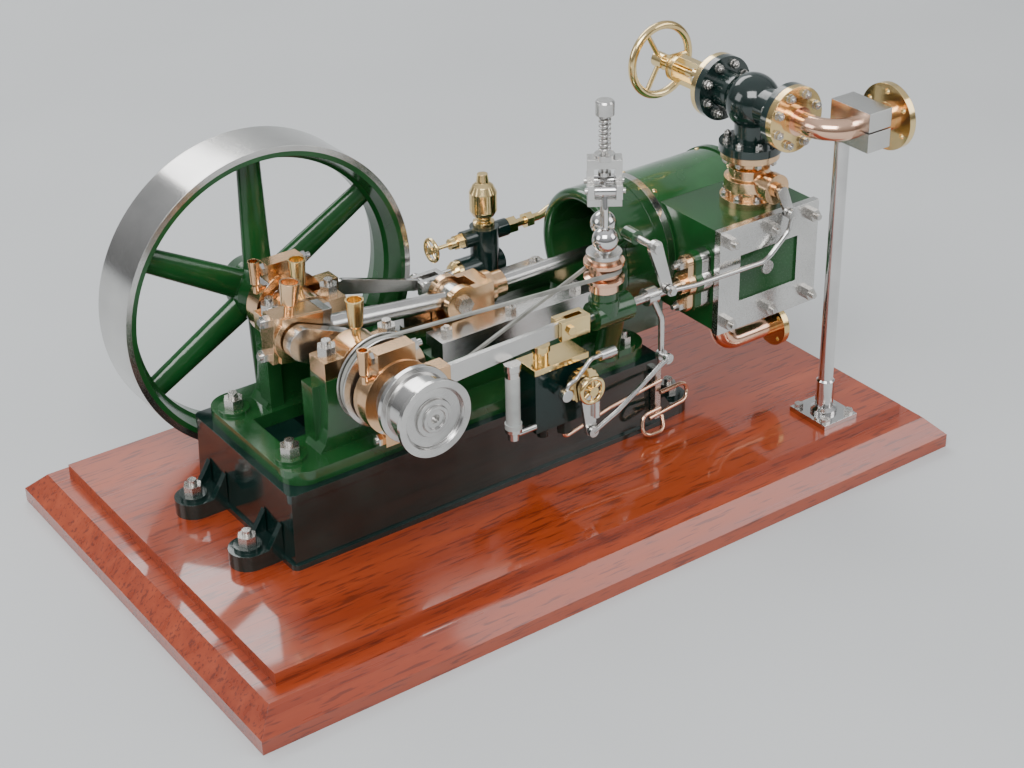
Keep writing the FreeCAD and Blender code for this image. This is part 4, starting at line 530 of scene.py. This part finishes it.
def hex_bolt(mesh, spot, direction, flats, height, stud=0.0):
    """Chamfered hexagon with a washer and, where given, a domed stud end."""
    corner = flats / math.sqrt(3)
    phase = random.uniform(0, math.pi / 3)
    lathe(mesh, [(0, flats * 0.62), (flats * 0.07, flats * 0.62)], spot, direction, 20)
    foot = spot + direction * flats * 0.07
    lathe(
        mesh,
        [(0, corner), (height * 0.86, corner), (height, corner * 0.84)],
        foot,
        direction,
        6,
        phase,
    )
    if stud:
        top = foot + direction * height
        radius = flats * 0.29
        end = [(-0.0001, radius), (stud * 0.6, radius), (stud * 0.85, radius * 0.8), (stud, radius * 0.35)]
        lathe(mesh, end, top, direction, 14)


def bolt_ring(mesh, centre, direction, radius, count, flats, height, stud=0.0, start=0.5):
    """A circle of bolts standing out of a flange along a direction."""
    side = direction.orthogonal().normalized()
    other = direction.cross(side)
    for number in range(count):
        angle = 2 * math.pi * (number + start) / count
        spot = centre + (side * math.cos(angle) + other * math.sin(angle)) * radius
        hex_bolt(mesh, spot, direction, flats, height, stud)


X, Y, Z = AXES["x"], AXES["y"], AXES["z"]
valve_low, valve_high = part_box("stop_valve_body")
bonnet_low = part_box("stop_valve_bonnet")[0]
flange = 4.4 * MM

mesh = bmesh.new()
on_axis = Vector((VALVE_AXIS.x, 0, VALVE_AXIS.z))
for face, direction in (
    (valve_low.y - 4.0 * MM, -Y),
    (valve_low.y + flange, Y),
    (valve_high.y - flange, -Y),
    (bonnet_low.y + 3.6 * MM, Y),
):
    bolt_ring(mesh, on_axis + Y * face, direction, 14.3 * MM, 8, 4.2 * MM, 2.6 * MM, 1.2 * MM)
stand = Vector((VALVE_AXIS.x, -47 * MM, 0))
throttle_low, throttle_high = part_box("throttle_body")
for height, direction, radius in (
    (throttle_high.z + 4.6 * MM, Z, 14.0 * MM),
    (throttle_high.z - 4.0 * MM, -Z, 14.0 * MM),
    (throttle_low.z + 4.0 * MM, Z, 13.9 * MM),
):
    bolt_ring(mesh, stand + Z * height, direction, radius, 8, 3.6 * MM, 2.3 * MM, 1.0 * MM)
keep("flange_bolts", mesh, nuts, "frame")


def make_cover_nuts():
    """Nuts round the cylinder's rear cover, left out where the steam chest stands."""
    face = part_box("cylinder")[1].x - 2 * MM
    chest_edge = SHAFT.y - 19 * MM
    circle = 29.5 * MM
    mesh = bmesh.new()
    for number in range(8):
        angle = 2 * math.pi * (number + 0.5) / 8
        spot = Vector((face, SHAFT.y + circle * math.cos(angle), SHAFT.z + circle * math.sin(angle)))
        if spot.y > chest_edge:
            hex_bolt(mesh, spot, X, 5.2 * MM, 2.6 * MM, 1.2 * MM)
    keep("rear_cover_nuts", mesh, nuts, "frame")


def make_lagging_screws():
    """Round-headed brass screws in two rows that hold the lagging's edges."""
    low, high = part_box("lagging")
    radius = high.z - SHAFT.z
    mesh = bmesh.new()
    for along in (low.x + 3 * MM, high.x - 3 * MM):
        for degrees in (-25, 20, 65, 110, 155):
            angle = math.radians(degrees)
            out = Vector((0, math.sin(angle), math.cos(angle)))
            foot = Vector((along, SHAFT.y, SHAFT.z)) + out * (radius - 0.2 * MM)
            head = [(0, 1.5 * MM), (0.5 * MM, 1.5 * MM), (0.9 * MM, 1.1 * MM), (1.1 * MM, 0.4 * MM)]
            lathe(mesh, head, foot, out, 18)
    keep("lagging_screws", mesh, brass, "frame")


make_cover_nuts()
make_lagging_screws()


def make_spring():
    """Round-wire coil that fills the space of the plain sleeve."""
    low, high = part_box("governor_spring")
    wire = 0.62 * MM
    radius = (high.x - low.x) / 2 - wire
    centre = (low + high) / 2
    turns = 7.5
    steps = 300
    mesh = bmesh.new()
    rings = []
    for step in range(steps + 1):
        part = step / steps
        angle = 2 * math.pi * turns * part
        ease = min(1.0, part * 9, (1 - part) * 9)
        rise = part * 0.92 + 0.04 + 0.04 * (2 * part - 1) * ease
        height = low.z + wire + (high.z - low.z - 2 * wire) * rise
        out = Vector((math.cos(angle), math.sin(angle), 0))
        spot = Vector((centre.x, centre.y, height)) + out * radius
        ring = []
        for side in range(10):
            turn = 2 * math.pi * side / 10
            ring.append(mesh.verts.new(spot + out * wire * math.cos(turn) + Z * wire * math.sin(turn)))
        rings.append(ring)
    for first, second in zip(rings, rings[1:]):
        for side in range(10):
            after = (side + 1) % 10
            mesh.faces.new((first[side], first[after], second[after], second[side]))
    mesh.faces.new(rings[0])
    mesh.faces.new(rings[-1])
    coil = keep("governor_spring_coil", mesh, ground, "governor")
    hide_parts("governor_spring")
    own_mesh(coil)


make_spring()


# ---- floor, lights and camera ----

def stage():
    mesh = bmesh.new()
    size, rise, bend = 3.0, 1.6, 0.5
    rows = [(-size, 0.0), (1.2, 0.0)]
    for step in range(1, 13):
        angle = math.pi / 2 * step / 12
        rows.append((1.2 + bend * math.sin(angle), bend - bend * math.cos(angle)))
    rows.append((1.2 + bend, rise))
    turn = Matrix.Rotation(math.radians(-35), 3, "Z")
    last = None
    for along, height in rows:
        pair = [mesh.verts.new(turn @ Vector((across, along, height))) for across in (-size, size)]
        if last:
            mesh.faces.new((last[0], last[1], pair[1], pair[0]))
        last = pair
    data = bpy.data.meshes.new("floor")
    mesh.to_mesh(data)
    mesh.free()
    made = Shader("floor_paper", 0.85)
    made.color(made.ramp(made.noise(3, 2), (0.3, (0.53, 0.545, 0.55)), (0.7, (0.57, 0.585, 0.59))))
    data.materials.append(made.material)
    for face in data.polygons:
        face.use_smooth = True
    floor = bpy.data.objects.new("floor", data)
    bpy.context.collection.objects.link(floor)


def light(name, spot, target, size, power, color=(1, 1, 1)):
    data = bpy.data.lights.new(name, "AREA")
    data.shape = "RECTANGLE"
    data.size, data.size_y = size
    data.energy = power
    data.color = color
    lamp = bpy.data.objects.new(name, data)
    lamp.location = spot
    lamp.rotation_euler = (Vector(target) - Vector(spot)).to_track_quat("-Z", "Y").to_euler()
    bpy.context.collection.objects.link(lamp)


def world():
    sky = bpy.data.worlds.new("studio")
    bpy.context.scene.world = sky
    sky.use_nodes = True
    tree = sky.node_tree
    place = tree.nodes.new("ShaderNodeTexCoord")
    split = tree.nodes.new("ShaderNodeSeparateXYZ")
    ramp = tree.nodes.new("ShaderNodeValToRGB")
    ramp.color_ramp.elements[0].position = 0.42
    ramp.color_ramp.elements[0].color = (0.10, 0.10, 0.10, 1)
    ramp.color_ramp.elements[1].position = 0.95
    ramp.color_ramp.elements[1].color = (0.95, 0.97, 1.0, 1)
    spread = tree.nodes.new("ShaderNodeMapRange")
    spread.inputs["From Min"].default_value = -1
    tree.links.new(place.outputs["Generated"], split.inputs[0])
    tree.links.new(split.outputs["Z"], spread.inputs["Value"])
    tree.links.new(spread.outputs["Result"], ramp.inputs["Fac"])
    tree.links.new(ramp.outputs["Color"], tree.nodes["Background"].inputs["Color"])
    tree.nodes["Background"].inputs["Strength"].default_value = 0.75


stage()
world()
light("key", (-0.9, -1.0, 1.6), (0, 0, 0.1), (1.2, 0.9), 34)
light("fill", (1.3, -1.2, 1.0), (0, 0, 0.1), (1.0, 1.0), 9)
light("back", (0.3, 1.5, 1.5), (0, 0, 0.1), (1.6, 0.7), 20)
light("side", (-1.7, 0.5, 0.9), (-0.1, 0, 0.1), (0.9, 0.9), 9)

# the photograph's viewpoint: its place, its heading from +Y towards +X, its dip and its slight roll
VIEW_FROM = Vector((-538.5, -793.3, 611.4)) * MM
HEADING, DIP, ROLL = 34.904, 29.95, -1.258
lens = bpy.data.cameras.new("camera")
lens.sensor_width = 36
lens.lens = 69.13
camera = bpy.data.objects.new("camera", lens)
yaw, pitch = math.radians(HEADING), math.radians(DIP)
ahead = Vector((math.sin(yaw) * math.cos(pitch), math.cos(yaw) * math.cos(pitch), -math.sin(pitch)))
camera.location = VIEW_FROM
camera.rotation_mode = "QUATERNION"
camera.rotation_quaternion = ahead.to_track_quat("-Z", "Y") @ Quaternion((0, 0, 1), math.radians(ROLL))
bpy.context.collection.objects.link(camera)
bpy.context.scene.camera = camera
